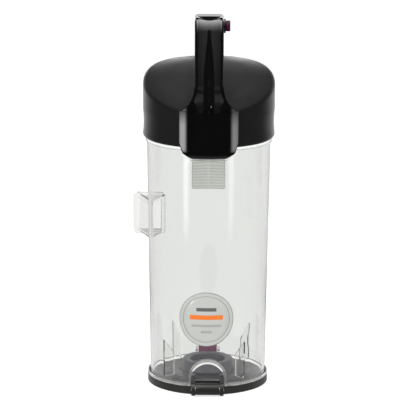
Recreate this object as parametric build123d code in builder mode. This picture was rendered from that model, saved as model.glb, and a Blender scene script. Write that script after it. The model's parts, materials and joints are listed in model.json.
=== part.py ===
from build123d import *
from math import asin, cos, degrees, hypot, radians, sin, sqrt, tan
import os

os.makedirs("parts", exist_ok=True)

# Millimetres. The origin is on the standing surface under the bin's axis, +Z is up and the
# handle's front leg is at -Y.

# Base flap
flap_ring_over = 0.2
flap_ring_height = 8.0
flap_ring_wall = 3.0
flap_plate = 2.8
flap_step_width = 13.9
flap_step_side = 2.5
flap_floor_rise = 4.0
flap_seal_width = 2.6
flap_seal_depth = 1.6
flap_seal_stand = 0.3
flap_rib = 2.0
flap_ribs = 6
flap_boss_radius = 8.5

# Dust seal in the middle of the flap
seal_seat_radius = 17.4
seal_seat_rise = 4.6
dust_seal_height = 11.0
dust_seal_foot_radius = 27.7
dust_seal_top_radius = 25.0

# Hinge at the front
hinge_reach = 5.0
hinge_z = 7.5
barrel_radius = 6.0
barrel_half = 11.7
ear_radius = 6.8
ear_gap = 0.3
ear_outer = 16.0
hinge_pin_radius = 2.0

# Clear cylinder
tube_foot_radius = 57.4
tube_height = 242.3
tube_draft = 0.0165
tube_wall = 2.2
flange_width = 2.4
flange_height = 3.0
bead_height = 3.4
bead_stand = 1.3
collar_height = 7.6
fin_count = 4
fin_angle = 40.0
fin_top = 51.0
fin_bottom = 13.2
fin_depth = 11.5
fin_slant = 15.0
fin_thickness = 1.6

# Front pocket over the hinge
arch_radius = 17.0
arch_centre = 14.4
arch_lip = 2.4
arch_lip_rise = 2.4
scoop_radius = 28.0
scoop_ahead = 10.0

# Tangential inlet
inlet_bottom = 142.2
inlet_height = 38.6
inlet_wall = 2.2
inlet_mouth_y = 50.0
inlet_width = 27.0
inlet_stand = 13.6
inlet_touch_y = 10.0
inlet_round = 4.0
mouth_flange = 2.8
mouth_flange_side = 2.8
mouth_flange_over = 1.6
mouth_flange_under = 2.6
mouth_flange_round = 5.0

# Base catch at the rear
catch_half = 9.7
catch_stand = 2.8
catch_thickness = 4.0
catch_bottom = 2.4
catch_top = 46.0
catch_pivot_z = 26.0
catch_pin_radius = 1.5
catch_boss_radius = 3.6
hook_reach = 2.1
hook_top = 4.7
hook_window_top = 5.0
catch_rib = 2.4
catch_rib_gap = 0.4
catch_spring_z = 38.0
catch_spring_radius = 2.9
spring_wire = 0.8

# Lid
lid_overhang = 4.1
lid_height = 70.2
lid_waist = 0.8
lid_wall = 2.8
lid_tuck = 2.4
lid_slope = 20.3
lid_arc = 176.0
lid_rim_round = 3.6
spigot_rise = 0.3
spigot_wall = 2.4
spigot_gap = 0.9
liner_plate = 2.5
liner_width = 18.5
lid_seal_height = 4.0
lid_seal_depth = 1.3
lid_seal_gap = 0.25
liner_screw_inset = 4.5
liner_screws_count = 4
screw_radius = 1.6
screw_head_radius = 3.0
screw_head = 2.2
screw_boss_radius = 4.2
liner_screw_bite = 8.0
handle_screw_half = 8.0
handle_screw_set = 13.0
handle_screw_bite = 14.0
handle_pad = 9.0
outlet_half = 21.0
outlet_rise = 19.4
outlet_height = 24.0
outlet_round = 5.0
gasket_width = 3.0
gasket_rise = 1.6

# Handle
handle_width = 28.4
handle_depth = 19.6
leg_depth = 16.4
handle_round = 3.2
handle_slope = 7.4
handle_rise = 43.8
leg_set_back = 7.1
leg_base_rise = 3.2
rear_leg_inset = 15.5
front_bend = 14.0
rear_bend = 22.0
grip_bend = 13.0
panel_half = 29.6
panel_stand = 3.1
panel_drop = 10.2
panel_corner_rise = 5.4
panel_bottom_half = 17.0
panel_round = 5.0
panel_back_gap = 0.6
panel_edge_round = 1.4
panel_chin = 8.5
panel_chin_in = 1.9
tab_frame_gap = 0.7
tab_frame = 1.6
tab_frame_rise = 3.2
flare_height = 25.0
flare_set = 1.2
fit_gap = 0.2
flute_bottom = 9.6
flute_top = 3.0
flute_depth = 1.5
flute_top_depth = 0.3
dish_radius = 25.0
dish_depth = 3.2

# Release button and bolt
button_y = -20.0
button_radius = 5.3
button_gap = 0.2
button_out = 20.6
button_travel = 3.5
button_flange = 5.8
collar_radius = 7.1
collar_out = 16.1
collar_in = 12.4
chamber_half = 9.7
chamber_half_height = 6.0
spring_room_front = -25.0
spring_room_gap = 0.5
chamber_rear = 34.0
cover_plate = 1.8
cover_half = 8.4
cover_front = -6.0
cover_rear = 42.0
opening_half = 7.0
bolt_half = 6.5
bolt_half_height = 4.4
bolt_front = -9.8
bolt_neck = 22.0
bolt_tail_half = 4.2
bolt_tail_half_height = 3.4
bolt_nose_out = 2.0
bolt_gap = 0.3
wedge_gap = 0.2
wedge_shift = 3.5
tongue_front = -3.0
tongue_rear = 5.0
tongue_half_height = 3.0
bolt_spring_radius = 3.4

# Labels
label_thickness = 0.42
label_gap = 0.12
label_radius = 27.6
label_x = -1.5
label_z = 77.0
rear_label_half = 17.4
rear_label_drop = 66.6
rear_label_height = 40.0

# Heights that follow from the sizes above
bin_bottom = flap_ring_height + flap_seal_stand
flange_top = bin_bottom + flange_height
lid_bottom = bin_bottom + tube_height
lid_crest = lid_bottom + lid_height
bead_bottom = lid_bottom - bead_height
bin_top = lid_bottom + collar_height
floor_top = flap_ring_height + flap_floor_rise
seat_top = floor_top + seal_seat_rise
arch_top = arch_centre + arch_radius
inlet_top = inlet_bottom + inlet_height
outlet_bottom = lid_bottom + outlet_rise
panel_bottom = lid_bottom - panel_drop
panel_corner_z = lid_bottom + panel_corner_rise
rear_label_bottom = lid_bottom - rear_label_drop
button_z = lid_crest + handle_rise
chamber_front = bolt_front - button_travel - bolt_gap


def tube_outer(z):
    return tube_foot_radius + tube_draft * (z - bin_bottom)


def tube_inner(z):
    return tube_outer(z) - tube_wall


# Radii and depths that follow from the cylinder
flange_radius = tube_foot_radius + flange_width
flap_ring_radius = flange_radius + flap_ring_over
flap_foot_radius = tube_foot_radius - flap_step_width
flap_floor_radius = flap_foot_radius - flap_step_side
hinge_y = -flap_ring_radius - hinge_reach
scoop_y = hinge_y - scoop_ahead
bead_radius = tube_outer(lid_bottom) + bead_stand
inlet_touch_x = -tube_outer(inlet_bottom + inlet_height / 2) + 0.1
inlet_left = inlet_touch_x - inlet_stand
inlet_right = inlet_left + inlet_width
catch_inner = flange_radius + catch_stand
catch_outer = catch_inner + catch_thickness
catch_pivot_y = catch_inner + catch_thickness / 2
hook_tip = flap_ring_radius - hook_reach
lid_radius = tube_outer(lid_bottom) + lid_overhang
liner_inner_radius = lid_radius - liner_width
liner_screw_circle = liner_inner_radius + liner_screw_inset
panel_radius = lid_radius + panel_stand
panel_start = sqrt(bead_radius**2 - panel_half**2) - 3
leg_front_base_y = -panel_radius + 1.4 * flare_set
leg_front_top_y = leg_front_base_y + leg_set_back
rear_leg_y = lid_radius - rear_leg_inset
bolt_nose_y = lid_radius + bolt_nose_out


def tube_core(grow, low, high):
    # Solid cone that follows the cylinder's wall, grown outward from its outer face
    with BuildPart() as core:
        with BuildSketch(Plane.XZ):
            with BuildLine():
                Polyline(
                    (0, low),
                    (tube_outer(low) + grow, low),
                    (tube_outer(high) + grow, high),
                    (0, high),
                    close=True,
                )
            make_face()
        revolve(axis=Axis.Z)
    return core.part


def arch(radius, low):
    # Arch outline of the hinge pocket, run through the front wall
    with BuildPart() as made:
        with BuildSketch(Plane.XZ.offset(35)):
            with Locations((0, arch_centre)):
                Circle(radius)
            with Locations((0, (low + arch_centre) / 2)):
                Rectangle(2 * radius, arch_centre - low)
        extrude(amount=60)
    return made.part


def upright(radius, y, low, high):
    with BuildPart() as made:
        with Locations((0, y, low)):
            Cylinder(radius, high - low, align=(Align.CENTER, Align.CENTER, Align.MIN))
    return made.part


def lid_top(y):
    # Height of the lid's top surface along the middle
    rise = radians(lid_slope)
    arc_y = lid_radius - lid_arc * sin(rise)
    arc_z = lid_crest - lid_arc * (1 - cos(rise))
    if y < arc_y:
        return arc_z - (arc_y - y) * tan(rise)
    return lid_crest - lid_arc + sqrt(lid_arc**2 - (lid_radius - y) ** 2)


leg_base_z = lid_top(-lid_radius) + leg_base_rise
flare_top = leg_base_z + flare_height


def lid_body(grow, low):
    # Lid outline grown outward: a waisted skirt under a top that slopes up from the front and
    # levels off at the rear. Inside the wall the skirt is plain.
    rise = radians(lid_slope)
    radius = lid_radius + grow
    high = lid_crest + lid_radius
    with BuildPart() as body:
        with BuildSketch(Plane.YZ):
            with BuildLine():
                if grow < 0:
                    Polyline((0, low), (radius, low), (radius, high), (0, high), (0, low))
                else:
                    tuck_z = lid_bottom + 1.6 * lid_tuck
                    waist_z = lid_top(-lid_radius) - 5
                    Line((0, low), (radius - lid_tuck, low))
                    ThreePointArc(
                        (radius - lid_tuck, low),
                        (radius - 0.27 * lid_tuck, low + 0.66 * lid_tuck),
                        (radius, tuck_z),
                    )
                    ThreePointArc(
                        (radius, tuck_z),
                        (radius - lid_waist, (tuck_z + waist_z) / 2),
                        (radius, waist_z),
                    )
                    Polyline((radius, waist_z), (radius, high), (0, high), (0, low))
            make_face()
        revolve(axis=Axis.Z)
        with BuildSketch(Plane.YZ):
            with BuildLine():
                arc_y = lid_radius - lid_arc * sin(rise)
                arc_z = lid_crest + grow - lid_arc * (1 - cos(rise))
                front_y = -2 * lid_radius
                slope = Line((front_y, arc_z - (arc_y - front_y) * tan(rise)), (arc_y, arc_z))
                crown = JernArc(start=slope @ 1, tangent=slope % 1, radius=lid_arc, arc_size=-2 * lid_slope)
                rear_y = (crown @ 1).Y
                Polyline(crown @ 1, (rear_y, low - 5), (front_y, low - 5), slope @ 0)
            make_face()
        extrude(amount=2 * lid_radius, both=True, mode=Mode.INTERSECT)
    return body.part


def panel_outline(grow):
    # Handle panel seen from the front, its lower corners drawn in to the tab
    shoulder_x = (panel_bottom_half + 2 * panel_half) / 3
    shoulder_z = (2 * panel_bottom + panel_corner_z) / 3 - 0.8
    with BuildSketch() as outline:
        with BuildLine():
            Polyline(
                (-panel_bottom_half, panel_bottom),
                (panel_bottom_half, panel_bottom),
                (shoulder_x, shoulder_z),
                (panel_half, panel_corner_z),
                (panel_half, leg_base_z),
                (-panel_half, leg_base_z),
                (-panel_half, panel_corner_z),
                (-shoulder_x, shoulder_z),
                close=True,
            )
        make_face()
        fillet(outline.vertices().sort_by(Axis.Y)[:6], panel_round)
        if grow > 0:
            offset(amount=grow, kind=Kind.INTERSECTION)
    return outline.sketch


# Handle lines seen from the side: the leaning front leg and the bar that falls to the rear
bar_fall = tan(radians(handle_slope))
bar_half = handle_depth / 2
leg_lean = (leg_front_top_y - leg_front_base_y) / (button_z - bar_half - leg_base_z)
bar = Plane(
    origin=(0, button_y, button_z),
    x_dir=(1, 0, 0),
    z_dir=(0, sin(radians(handle_slope)), cos(radians(handle_slope))),
)


def bar_line(y, lift):
    # Height of a line along the bar, lift being its distance from the bar's middle
    return button_z + lift / cos(radians(handle_slope)) - bar_fall * (y - button_y)


def leg_front(z):
    return leg_front_base_y + leg_lean * (z - leg_base_z)


def leg_meets_bar(depth, lift):
    # Where a line of the front leg, depth behind its front face, crosses a line of the bar
    rise = bar_line(0, lift)
    y = (leg_front_base_y + depth + leg_lean * (rise - leg_base_z)) / (1 + leg_lean * bar_fall)
    return (y, bar_line(y, lift))


def spring(radius, length, turns):
    # Compression spring standing on the XY plane, its wire flattened
    with BuildPart() as coil:
        with BuildLine() as path:
            Helix(pitch=(length - spring_wire) / turns, height=length - spring_wire, radius=radius)
        with BuildSketch(Plane(origin=path.line @ 0, x_dir=(1, 0, 0), z_dir=path.line % 0)):
            Rectangle(spring_wire, spring_wire)
        sweep(is_frenet=True)
    return coil.part


# One fin, drawn in the plane of the cylinder's axis
with BuildPart() as fin:
    with BuildSketch(Plane.XZ):
        with BuildLine():
            fin_wall = tube_inner(fin_top) + 0.6
            fin_edge = tube_inner(fin_bottom) - fin_depth
            Line((fin_wall, fin_bottom), (fin_edge, fin_bottom))
            Line((fin_edge, fin_bottom), (fin_edge, fin_top - fin_slant))
            Line((fin_edge, fin_top - fin_slant), (fin_wall, fin_top))
            Line((fin_wall, fin_top), (fin_wall, fin_bottom))
        make_face()
    extrude(amount=fin_thickness / 2, both=True)

# Inlet duct, its outer wall slanting in to meet the cylinder
inlet_slant = (inlet_left - inlet_touch_x) / (inlet_mouth_y - inlet_touch_y)
with BuildPart() as duct:
    with BuildSketch(Plane.XY.offset(inlet_bottom)):
        with BuildLine():
            Polyline(
                (inlet_left, inlet_mouth_y),
                (inlet_touch_x, inlet_touch_y),
                (inlet_right, inlet_touch_y + 16),
                (inlet_right, inlet_mouth_y),
                close=True,
            )
        make_face()
    extrude(amount=inlet_top - inlet_bottom)
    outer_wall = duct.faces().sort_by(Axis.X)[0]
    fillet(outer_wall.edges().filter_by(Axis.Z, reverse=True), inlet_round)
    with BuildSketch(Plane.XZ.offset(-inlet_mouth_y)):
        mouth_wide = inlet_right - inlet_left + mouth_flange_side + 1.2
        mouth_high = inlet_top - inlet_bottom + mouth_flange_over + mouth_flange_under
        mouth_x = inlet_left - mouth_flange_side + mouth_wide / 2
        mouth_z = inlet_bottom - mouth_flange_under + mouth_high / 2
        with Locations((mouth_x, mouth_z)):
            RectangleRounded(mouth_wide, mouth_high, mouth_flange_round)
    extrude(amount=mouth_flange)
    add(tube_core(-tube_wall / 2, inlet_bottom - 5, inlet_top + 5), mode=Mode.SUBTRACT)

with BuildPart() as duct_void:
    with BuildSketch(Plane.XY.offset(inlet_bottom + inlet_wall)):
        with BuildLine():
            Polyline(
                (inlet_left + inlet_wall * 1.07 + inlet_slant * 3, inlet_mouth_y + 3),
                (inlet_touch_x + inlet_wall * 1.07, inlet_touch_y),
                (inlet_right - inlet_wall, inlet_touch_y + 16),
                (inlet_right - inlet_wall, inlet_mouth_y + 3),
                close=True,
            )
        make_face()
    extrude(amount=inlet_top - inlet_bottom - 2 * inlet_wall)
    slant_wall = duct_void.faces().sort_by(Axis.X)[0]
    fillet(slant_wall.edges().filter_by(Axis.Z, reverse=True), inlet_round - inlet_wall)

# Raised frame on the cylinder that the handle's tab drops into, open at the top
with BuildPart() as tab_rim:
    with BuildSketch(Plane.XZ.offset(panel_start - 10)):
        add(panel_outline(tab_frame_gap + tab_frame))
        add(panel_outline(tab_frame_gap), mode=Mode.SUBTRACT)
    extrude(amount=panel_radius)
    add(tube_core(tab_frame_rise, panel_bottom - 10, bead_bottom + 1), mode=Mode.INTERSECT)
    add(tube_core(-tube_wall / 2, panel_bottom - 15, bead_bottom + 5), mode=Mode.SUBTRACT)

# Cylinder: wall with flange, rim bead and the collar that stands up inside the lid
with BuildPart() as bin_cylinder:
    with BuildSketch(Plane.XZ):
        with BuildLine():
            Polyline(
                (tube_inner(bin_bottom), bin_bottom),
                (flange_radius, bin_bottom),
                (flange_radius, flange_top),
                (tube_outer(flange_top), flange_top),
                (tube_outer(bead_bottom), bead_bottom),
                (bead_radius, bead_bottom),
                (bead_radius, lid_bottom),
                (tube_outer(lid_bottom), lid_bottom),
                (tube_outer(bin_top), bin_top),
                (tube_inner(bin_top), bin_top),
                close=True,
            )
        make_face()
    revolve(axis=Axis.Z)
    # Hinge pocket: its inner wall, the raised lip round it, then the hollow
    add(
        arch(arch_radius + tube_wall, bin_bottom)
        & upright(scoop_radius + tube_wall, scoop_y, bin_bottom, arch_top + 10)
        & tube_core(0, bin_bottom, arch_top + 20)
    )
    add(
        (arch(arch_radius + arch_lip, bin_bottom) & tube_core(arch_lip_rise, bin_bottom, arch_top + 20))
        - tube_core(-tube_wall / 2, bin_bottom - 1, arch_top + 30)
    )
    add(
        arch(arch_radius, bin_bottom - 5) & upright(scoop_radius, scoop_y, bin_bottom - 5, arch_top + 10),
        mode=Mode.SUBTRACT,
    )
    add(tab_rim.part)
    with PolarLocations(0, fin_count, start_angle=fin_angle):
        add(fin.part)
    add(duct.part)
    add(duct_void.part, mode=Mode.SUBTRACT)
    # Rear ribs that carry the catch pin, and the stud that holds its spring
    rib_x = catch_half + catch_rib_gap + catch_rib / 2
    with BuildSketch(Plane.YZ.offset(-rib_x), Plane.YZ.offset(rib_x)):
        with BuildLine():
            Polyline(
                (tube_outer(catch_pivot_z - 13) - 2.2, catch_pivot_z - 13),
                (catch_outer - 1.5, catch_pivot_z - 8),
                (catch_outer + 0.6, catch_pivot_z - 4),
                (catch_outer + 0.6, catch_pivot_z + 4),
                (catch_outer - 2.5, catch_pivot_z + 8),
                (tube_outer(catch_pivot_z + 17) - 2.2, catch_pivot_z + 17),
                close=True,
            )
        make_face()
    extrude(amount=catch_rib / 2, both=True)
    with BuildSketch(Plane.YZ):
        with Locations((catch_pivot_y, catch_pivot_z)):
            Circle(catch_pin_radius + 0.02)
    extrude(amount=rib_x + 5, both=True, mode=Mode.SUBTRACT)
    with BuildSketch(Plane.XZ.offset(-tube_outer(catch_spring_z) + 0.8)):
        with Locations((0, catch_spring_z)):
            Circle(catch_spring_radius - spring_wire - 0.5)
    extrude(amount=-2.8)
bin_cylinder.part.label = "bin_cylinder"
export_step(bin_cylinder.part, "parts/bin_cylinder.step")

# Labels, bent to the cylinder's wall, so the round one is narrower seen from the front
label_wall = tube_outer(label_z)
with BuildPart() as round_label:
    with BuildSketch(Plane.XZ):
        with Locations((label_x, label_z)):
            Ellipse(label_wall * sin(label_radius / label_wall), label_radius)
    extrude(amount=2 * tube_foot_radius)
    label_reach = label_radius + 5
    add(tube_core(label_thickness, label_z - label_reach, label_z + label_reach), mode=Mode.INTERSECT)
    add(tube_core(label_gap, label_z - label_reach - 4, label_z + label_reach + 4), mode=Mode.SUBTRACT)
round_label.part.label = "round_label"
export_step(round_label.part, "parts/round_label.step")

with BuildPart() as rear_label:
    with BuildSketch(Plane.XZ):
        with Locations((0, rear_label_bottom + rear_label_height / 2)):
            RectangleRounded(2 * rear_label_half, rear_label_height, 2.0)
    extrude(amount=-2 * tube_foot_radius)
    add(
        tube_core(label_thickness, rear_label_bottom - 5, rear_label_bottom + rear_label_height + 5),
        mode=Mode.INTERSECT,
    )
    add(
        tube_core(label_gap, rear_label_bottom - 9, rear_label_bottom + rear_label_height + 9),
        mode=Mode.SUBTRACT,
    )
rear_label.part.label = "rear_label"
export_step(rear_label.part, "parts/rear_label.step")

# Hinge bracket: two ears with arms that stand up in the pocket, and the web between them
ear_inner = barrel_half + ear_gap
arm_top = arch_centre + 5
with BuildPart() as hinge_bracket:
    with BuildSketch(Plane.YZ.offset(-ear_outer), Plane.YZ.offset(ear_inner)):
        with Locations((hinge_y, hinge_z)):
            Circle(ear_radius)
        with BuildLine():
            Polyline(
                (hinge_y - 2.0, hinge_z + ear_radius - 0.8),
                (scoop_y + scoop_radius - 10.5, arm_top),
                (scoop_y + scoop_radius, arm_top),
                (scoop_y + scoop_radius, bin_bottom + 0.5),
                (hinge_y, bin_bottom + 0.5),
                close=True,
            )
        make_face()
    extrude(amount=ear_outer - ear_inner)
    with BuildSketch(Plane.XZ.offset(-(scoop_y + scoop_radius - 10.0))):
        with Locations((0, bin_bottom + 3.0)):
            Rectangle(2 * ear_outer, 5.0)
    extrude(amount=-10.0)
    add(
        upright(scoop_radius - fit_gap, scoop_y, hinge_z - ear_radius - 1, arch_top),
        mode=Mode.INTERSECT,
    )
    add(arch(arch_radius - fit_gap, hinge_z - ear_radius - 1), mode=Mode.INTERSECT)
    with BuildSketch(Plane.YZ):
        with Locations((hinge_y, hinge_z)):
            Circle(hinge_pin_radius + 0.02)
    extrude(amount=ear_outer + 1, both=True, mode=Mode.SUBTRACT)
hinge_bracket.part.label = "hinge_bracket"
export_step(hinge_bracket.part, "parts/hinge_bracket.step")

with BuildPart() as hinge_pin:
    with BuildSketch(Plane.YZ):
        with Locations((hinge_y, hinge_z)):
            Circle(hinge_pin_radius)
    extrude(amount=ear_outer + 0.4, both=True)
    chamfer(hinge_pin.edges().filter_by(GeomType.CIRCLE), 0.3)
hinge_pin.part.label = "hinge_pin"
export_step(hinge_pin.part, "parts/hinge_pin.step")

# Flap: ring, plate with a raised floor, the seat of the dust seal, ribs under it and the hinge barrel
under_floor = floor_top - flap_plate
under_plate = flap_ring_height - flap_plate
under_seat = seat_top - flap_plate
ring_inner = flap_ring_radius - flap_ring_wall
groove_outer = flap_ring_radius - 1.7
groove_inner = groove_outer - flap_seal_width
rib_low = under_plate + 0.9
rib_high = floor_top - flap_plate / 2
with BuildPart() as flap_ribbing:
    with BuildSketch(Plane.XZ):
        with BuildLine():
            Polyline(
                (flap_boss_radius - 2, 0),
                (ring_inner + 1, 0),
                (ring_inner + 1, rib_low),
                (flap_foot_radius - 1.5, rib_low),
                (flap_floor_radius - 1.5, rib_high),
                (flap_boss_radius - 2, rib_high),
                close=True,
            )
        make_face()
    extrude(amount=flap_rib / 2, both=True)

with BuildPart() as base_flap:
    with BuildSketch(Plane.XZ):
        with BuildLine():
            Polyline(
                (ring_inner, 0),
                (flap_ring_radius - 0.8, 0),
                (flap_ring_radius, 0.8),
                (flap_ring_radius, flap_ring_height),
                (groove_outer, flap_ring_height),
                (groove_outer, flap_ring_height - flap_seal_depth),
                (groove_inner, flap_ring_height - flap_seal_depth),
                (groove_inner, flap_ring_height),
                (flap_foot_radius, flap_ring_height),
                (flap_floor_radius, floor_top),
                (seal_seat_radius, floor_top),
                (seal_seat_radius, seat_top),
                (0, seat_top),
                (0, under_seat),
                (seal_seat_radius - flap_plate, under_seat),
                (seal_seat_radius - flap_plate, under_floor),
                (flap_floor_radius - 1.5, under_floor),
                (flap_foot_radius - 1.5, under_plate),
                (ring_inner, under_plate),
                close=True,
            )
        make_face()
    revolve(axis=Axis.Z)
    with PolarLocations(0, flap_ribs, start_angle=0):
        add(flap_ribbing.part)
    Cylinder(flap_boss_radius, seat_top - 1, align=(Align.CENTER, Align.CENTER, Align.MIN))
    # Arm and barrel at the front, with room for the bracket's ears
    with BuildSketch(Plane.YZ):
        with Locations((hinge_y, hinge_z)):
            Circle(barrel_radius)
        with BuildLine():
            Polyline(
                (hinge_y, hinge_z - barrel_radius),
                (-groove_outer - 0.2, hinge_z - barrel_radius),
                (-groove_outer - 0.2, flap_ring_height),
                (hinge_y, flap_ring_height),
                close=True,
            )
        make_face()
    extrude(amount=barrel_half, both=True)
    ear_room_inner = barrel_half
    ear_room_outer = ear_outer + 0.6
    with BuildSketch(Plane.YZ.offset(-ear_room_outer), Plane.YZ.offset(ear_room_inner)):
        with Locations((hinge_y, hinge_z)):
            Circle(ear_radius + 0.5)
    extrude(amount=ear_room_outer - ear_room_inner, mode=Mode.SUBTRACT)
    with BuildSketch(Plane.YZ):
        with Locations((hinge_y, hinge_z)):
            Circle(hinge_pin_radius + 0.06)
    extrude(amount=barrel_half + 1, both=True, mode=Mode.SUBTRACT)
    # Window in the ring's rear for the catch's hook
    with BuildSketch(Plane.XZ.offset(-ring_inner + 1)):
        with Locations((0, (hook_window_top + catch_bottom - 0.6) / 2)):
            Rectangle(2 * catch_half + 1.6, hook_window_top - catch_bottom + 0.6)
    extrude(amount=-8, mode=Mode.SUBTRACT)
base_flap.part.label = "base_flap"
export_step(base_flap.part, "parts/base_flap.step")

with BuildPart() as flap_seal:
    with BuildSketch(Plane.XY.offset(flap_ring_height - flap_seal_depth)):
        Circle(groove_outer - 0.1)
        Circle(groove_inner + 0.1, mode=Mode.SUBTRACT)
    extrude(amount=flap_seal_depth + flap_seal_stand)
flap_seal.part.label = "flap_seal"
export_step(flap_seal.part, "parts/flap_seal.step")

# Dust seal: a tapered collar round the seat, open in the middle
with BuildPart() as dust_seal:
    with BuildSketch(Plane.XZ):
        with BuildLine():
            bore = seal_seat_radius + 0.1
            top = floor_top + dust_seal_height
            Line((bore, floor_top), (dust_seal_foot_radius, floor_top))
            Line((dust_seal_foot_radius, floor_top), (dust_seal_foot_radius - 0.3, floor_top + 1.6))
            Line((dust_seal_foot_radius - 0.3, floor_top + 1.6), (dust_seal_top_radius, top - 1.5))
            Line((dust_seal_top_radius, top - 1.5), (dust_seal_top_radius - 0.4, top - 0.5))
            Line((dust_seal_top_radius - 0.4, top - 0.5), (dust_seal_top_radius - 1.5, top))
            Line((dust_seal_top_radius - 1.5, top), (bore + 0.8, top))
            Line((bore + 0.8, top), (bore, top - 0.8))
            Line((bore, top - 0.8), (bore, floor_top))
        make_face()
    revolve(axis=Axis.Z)
dust_seal.part.label = "dust_seal"
export_step(dust_seal.part, "parts/dust_seal.step")

# Catch: hook under the flap's rear, pivot boss in the middle and a ribbed thumb pad at the top
with BuildPart() as base_catch:
    with BuildSketch(Plane.YZ):
        with BuildLine():
            Polyline(
                (hook_tip + 1.0, catch_bottom),
                (hook_tip, catch_bottom + 1.0),
                (hook_tip, hook_top),
                (catch_inner, hook_top),
                (catch_inner, catch_top - 1.5),
                (catch_inner + 1.5, catch_top),
                (catch_outer, catch_top),
                (catch_outer, catch_bottom + 3.0),
                (catch_outer - 2.0, catch_bottom),
                close=True,
            )
        make_face()
        with Locations((catch_pivot_y, catch_pivot_z)):
            Circle(catch_boss_radius)
        with Locations(*[(catch_outer, catch_top - 2.6 - 3.2 * i) for i in range(4)]):
            Circle(0.9)
    extrude(amount=catch_half, both=True)
    with BuildSketch(Plane.YZ):
        with Locations((catch_pivot_y, catch_pivot_z)):
            Circle(catch_pin_radius + 0.06)
    extrude(amount=catch_half + 1, both=True, mode=Mode.SUBTRACT)
    with BuildSketch(Plane.XZ.offset(-catch_inner + 1)):
        with Locations((0, catch_spring_z)):
            Circle(catch_spring_radius + 0.6)
    extrude(amount=-3.0, mode=Mode.SUBTRACT)
base_catch.part.label = "base_catch"
export_step(base_catch.part, "parts/base_catch.step")

with BuildPart() as catch_pin:
    with BuildSketch(Plane.YZ):
        with Locations((catch_pivot_y, catch_pivot_z)):
            Circle(catch_pin_radius)
    extrude(amount=rib_x + catch_rib / 2 + 0.3, both=True)
    chamfer(catch_pin.edges().filter_by(GeomType.CIRCLE), 0.3)
catch_pin.part.label = "catch_pin"
export_step(catch_pin.part, "parts/catch_pin.step")

catch_spring_foot = tube_outer(catch_spring_z) + 0.25
catch_spring_length = catch_inner + 2.0 - catch_spring_foot - 0.15
catch_spring_base = (0, catch_spring_foot + spring_wire / 2, catch_spring_z)
with BuildPart() as catch_spring:
    with Locations(Plane(origin=catch_spring_base, z_dir=(0, 1, 0)).location):
        add(spring(catch_spring_radius - spring_wire / 2, catch_spring_length, 4))
catch_spring.part.label = "catch_spring"
export_step(catch_spring.part, "parts/catch_spring.step")

# Lid shell: the outline hollowed from below, with screw bosses, handle pads and the rear outlet
handle_screw_spots = [
    (-handle_screw_half, leg_front_base_y + handle_screw_set),
    (handle_screw_half, leg_front_base_y + handle_screw_set),
    (-handle_screw_half, rear_leg_y),
    (handle_screw_half, rear_leg_y),
]
liner_top = bin_top + 0.2 + liner_plate
# The outlet is cut from just inside the skirt, where its sides meet the wall
outlet_depth = sqrt((lid_radius - lid_wall) ** 2 - (outlet_half + gasket_width) ** 2) - 3
with BuildPart() as lid_bosses:
    with Locations((0, 0, liner_top)):
        with PolarLocations(liner_screw_circle, liner_screws_count, start_angle=45):
            Cylinder(screw_boss_radius, lid_height, align=(Align.CENTER, Align.CENTER, Align.MIN))
    with Locations(*[(x, y, lid_top(y) - handle_pad) for x, y in handle_screw_spots]):
        Cylinder(screw_boss_radius, 3 * handle_pad, align=(Align.CENTER, Align.CENTER, Align.MIN))
    add(lid_body(-lid_wall / 2, lid_bottom), mode=Mode.INTERSECT)

with BuildPart() as lid_shell:
    add(lid_body(0, lid_bottom))
    top_faces = lid_shell.faces().filter_by(lambda f: f.normal_at(f.center()).Z > 0.8)
    rim = top_faces.edges().filter_by(lambda e: hypot(e.center().X, e.center().Y) > lid_radius / 2)
    fillet(rim, lid_rim_round)
    add(lid_body(-lid_wall, lid_bottom - 1), mode=Mode.SUBTRACT)
    add(lid_bosses.part)
    with Locations((0, 0, liner_top)):
        with PolarLocations(liner_screw_circle, liner_screws_count, start_angle=45):
            Cylinder(
                screw_radius + 0.02,
                liner_screw_bite + 2,
                align=(Align.CENTER, Align.CENTER, Align.MIN),
                mode=Mode.SUBTRACT,
            )
    with Locations(*[(x, y, lid_top(y) - handle_pad - 3) for x, y in handle_screw_spots]):
        Cylinder(
            screw_radius + 0.1,
            3 * handle_pad,
            align=(Align.CENTER, Align.CENTER, Align.MIN),
            mode=Mode.SUBTRACT,
        )
    with BuildSketch(Plane.XZ.offset(-outlet_depth)):
        with Locations((0, outlet_bottom + outlet_height / 2)):
            RectangleRounded(2 * outlet_half, outlet_height, outlet_round)
    extrude(amount=-lid_radius, mode=Mode.SUBTRACT)
lid_shell.part.label = "lid_shell"
export_step(lid_shell.part, "parts/lid_shell.step")

# Gasket on the skirt round the outlet
with BuildPart() as outlet_gasket:
    with BuildSketch(Plane.XZ.offset(-outlet_depth)):
        with Locations((0, outlet_bottom + outlet_height / 2)):
            RectangleRounded(
                2 * (outlet_half + gasket_width),
                outlet_height + 2 * gasket_width,
                outlet_round + gasket_width,
            )
            RectangleRounded(2 * outlet_half, outlet_height, outlet_round, mode=Mode.SUBTRACT)
    extrude(amount=-lid_radius)
    add(lid_body(gasket_rise, lid_bottom), mode=Mode.INTERSECT)
    add(lid_body(0.05, lid_bottom - 2), mode=Mode.SUBTRACT)
outlet_gasket.part.label = "outlet_gasket"
export_step(outlet_gasket.part, "parts/outlet_gasket.step")

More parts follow.
